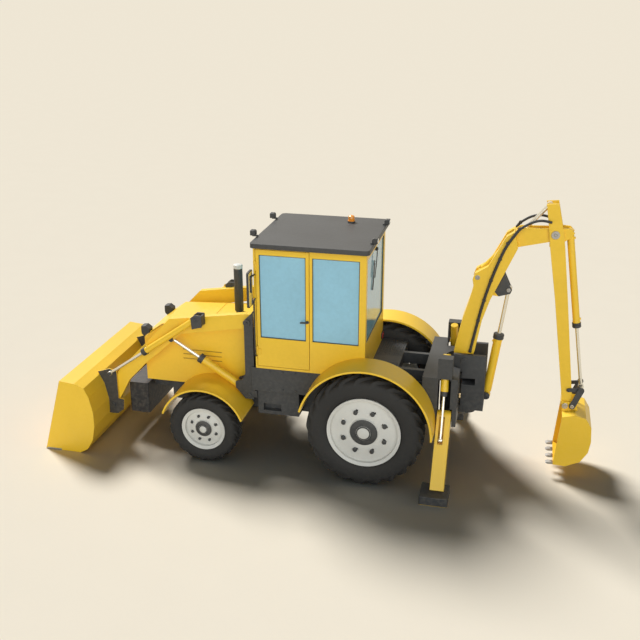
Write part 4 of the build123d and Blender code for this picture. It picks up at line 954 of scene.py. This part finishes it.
def swollen_pad(name, outline, low, high, across):
    """A pad blown up by cloth simulation, with two sewn channels pressed in afterwards."""
    bm = form(cut_plate, outline, low, high, across=across)
    bmesh.ops.recalc_face_normals(bm, faces=bm.faces)
    data = bpy.data.meshes.new(name)
    bm.to_mesh(data)
    bm.free()
    pad = put(name, data)
    skin = pad.modifiers.new("skin", "REMESH")
    skin.mode = "VOXEL"
    skin.voxel_size = SKIN
    data = evaluated_mesh(pad)
    pad.modifiers.remove(skin)
    pad.data = data
    rest = [v.co.copy() for v in data.vertices]
    cloth = pad.modifiers.new("air", "CLOTH")
    cloth.settings.use_pressure = True
    cloth.settings.uniform_pressure_force = 4
    cloth.settings.effector_weights.gravity = 0
    for step in range(1, CLOTH_STEPS + 1):
        bpy.context.scene.frame_set(step)
    swollen = evaluated_mesh(pad)
    pad.modifiers.remove(cloth)
    pad.data = data = swollen
    bpy.context.scene.frame_set(1)
    for vertex, old in zip(data.vertices, rest):
        move = vertex.co - old
        if move.length > SWELL_CAP:
            vertex.co = old + move.normalized() * SWELL_CAP
        press = max(0.0, 1 - abs(abs(old.y) - CHANNEL_AT) / CHANNEL_WIDTH)
        if vertex.co.z > old.z:
            vertex.co.z -= CHANNEL_DEPTH * press ** 2
    data.shade_smooth()
    smooth = pad.modifiers.new("soft", "SUBSURF")
    smooth.levels = smooth.render_levels = 1
    data.materials.clear()
    data.materials.append(CLOTH)
    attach(pad, "chassis")
    return pad


cushion = swollen_pad("seat_cushion", box_outline(512, 968, -228, 228, 70), 1622, 1700, "z")
backrest = swollen_pad("seat_back", [(470, 1722), (568, 1722), (560, 1900), (520, 2275), (505, 2288),
                                     (442, 2288), (432, 2270)], -215, 215, "y")
bm = bmesh.new()
cut_plate(bm, box_outline(572, 888, -158, 158, 20), 1356, 1590, across="z")
cut_plate(bm, box_outline(530, 950, -205, 205, 40), 1590, 1618, across="z")
cut_plate(bm, [(452, 1600), (476, 1600), (438, 2240), (414, 2240)], -120, 120)
piece("seat_pedestal", bm, BLACK, "chassis", edge=6)
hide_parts("seat")
print("seat pads:", len(cushion.data.vertices), "and", len(backrest.data.vertices), "points")

# %% [markdown]
# In front of the seat stand the steering wheel on its column and a desk with round gauges.
# Two short levers with knobs work the loader. They are small, so they are fixed.

# %% Controls
COLUMN_FOOT, COLUMN_TOP, STEERING = spot(1360, 0, 1358), spot(1228, 0, 2020), spot(1222, 0, 2055)
bm = bmesh.new()
tilt = radians(-12)
ring_axis = Vector((sin(tilt), 0, cos(tilt)))
turned(bm, [(-11, 186), (-8, 176), (0, 172), (8, 176), (11, 186), (8, 196), (0, 200), (-8, 196), (-11, 186)],
       STEERING, ring_axis)
turned(bm, [(-30, 0), (-30, 38), (6, 44), (12, 34), (14, 0)], STEERING, ring_axis, steps=28)
turned(bm, [(0, 0), (0, 45), (640, 38), (642, 0)], COLUMN_FOOT, COLUMN_TOP - COLUMN_FOOT)
for angle in (90, 210, 330):
    arm = Matrix.Rotation(radians(angle), 3, ring_axis) @ ring_axis.orthogonal().normalized()
    turned(bm, [(30, 0), (30, 13), (178, 9), (180, 0)], STEERING, arm, steps=12)
cut_plate(bm, [(1296, 1640), (1380, 1640), (1380, 1360), (1438, 1360), (1438, 1796), (1330, 1796),
               (1296, 1740)], -298, 298)
piece("dash_and_wheel", bm, BLACK, "chassis", edge=5, stands_for=("controls",))
bm = bmesh.new()
for y in (-200, -110, 110, 200):
    turned(bm, [(0, 0), (0, 34), (5, 34), (5, 30), (2, 28), (2, 0)], spot(1312, y, 1770),
           (-0.5, 0, 0.86), steps=24)
piece("gauges", bm, CHROME, "chassis")
bm = bmesh.new()
for y in (-330, -270):
    turned(bm, [(0, 0), (0, 9), (380, 7), (380, 20), (395, 27), (415, 26), (430, 14), (434, 0)],
           spot(1120, y, 1360), (-0.05, 0, 1), steps=20)
piece("loader_levers", bm, BLACK, "chassis")
print("controls done")

# %% [markdown]
# The last layer is what a walk round the machine would find: grip studs on the deck behind
# the cab, rear lamps, bolts along the frames, and the dark brackets of the cylinders.

# %% Deck, lamps and bolts
DECK_TOP, BOLT_SEAT = 1326.5, -1105
stud = form(turned, [(0, 0), (0, 9), (3, 7), (4, 0)], HERE, UP, steps=8)
repeated("deck_studs", stud, AT_POINTS, DARK, "chassis",
         points=[spot(x, hand * y, DECK_TOP) for _, hand in SIDES for x in range(-270, 40, 30)
                 for y in range(120, 660, 30)])

cases, lenses = bmesh.new(), bmesh.new()
for _, hand in SIDES:
    low_y, high_y = span(hand, 560, 660)
    cut_plate(cases, box_outline(low_y - 8, high_y + 8, 1362, 1452, 12), 48, 66, across="x")
    cut_plate(lenses, box_outline(low_y, high_y, 1370, 1444, 10), 42, 50, across="x")
piece("tail_lamp_cases", cases, BLACK, "chassis", edge=2)
piece("tail_lamp_lenses", lenses, RED_LENS, "chassis", edge=3, slot="amber_plastic")

BOLT = [(0, 0), (0, 14), (9, 14), (11, 11), (12, 0)]
frame_side, weight_face = extent("platform", 1)[1], extent("counterweight", 0)[1]
along_frame = [(x, z) for z in (1040, 1290) for x in range(120, 1480, 170)]
# piece, way that its bolts face, metal, slot, places
for name, facing, metal, slot, places in (
        ("left_frame_bolts", (0, 1, 0), DARK, None,
         [(x, frame_side, z) for x, z in along_frame]),
        ("right_frame_bolts", (0, -1, 0), DARK, None,
         [(x, -frame_side, z) for x, z in along_frame]),
        ("rear_frame_bolts", (-1, 0, 0), DARK, None,
         [(BOLT_SEAT, y, z) for y in (-650, -560, 560, 650) for z in (1040, 1180, 1320)]),
        ("weight_bolts", (1, 0, 0), BARE_STEEL, "iron",
         [(weight_face, y, z) for y in (-330, -110, 110, 330) for z in (480, 700)])):
    repeated(name, form(turned, BOLT, HERE, facing, steps=6), AT_POINTS, metal, "chassis",
             points=[spot(*place) for place in places], slot=slot)

TILT_EAR = [(2194, 1847), (2331, 1807), (2342, 1962), (2292, 2003), (2194, 2003)]
EYE_EAR = [(-1560, 2622), (-1500, 2612), (-1440, 2400), (-1500, 2333), (-1642, 2377), (-1660, 2425),
           (-1632, 2472)]
tilt_ears, eye_ears = bmesh.new(), bmesh.new()
for _, hand in SIDES:
    for near, far in ((618, 644), (738, 759)):
        cut_plate(tilt_ears, TILT_EAR, *span(hand, near, far))
    cut_plate(tilt_ears, box_outline(2193, 2214, 1858, 1993), *span(hand, 619, 757))
    cut_plate(eye_ears, EYE_EAR, *span(hand, 34.5, 63.5))
piece("tilt_brackets", tilt_ears, DARK, "arms", edge=2)
piece("boom_eye_bracket", eye_ears, DARK, "boom", edge=2)
print("deck, lamps, bolts and brackets done")

# %% [markdown]
# Last come the sizes: the CAD's box and the dressed machine's, so that the two can be set
# side by side. Trim may stand a little proud of the steel, and no more.

# %% Sizes and close
low, high = cad_box
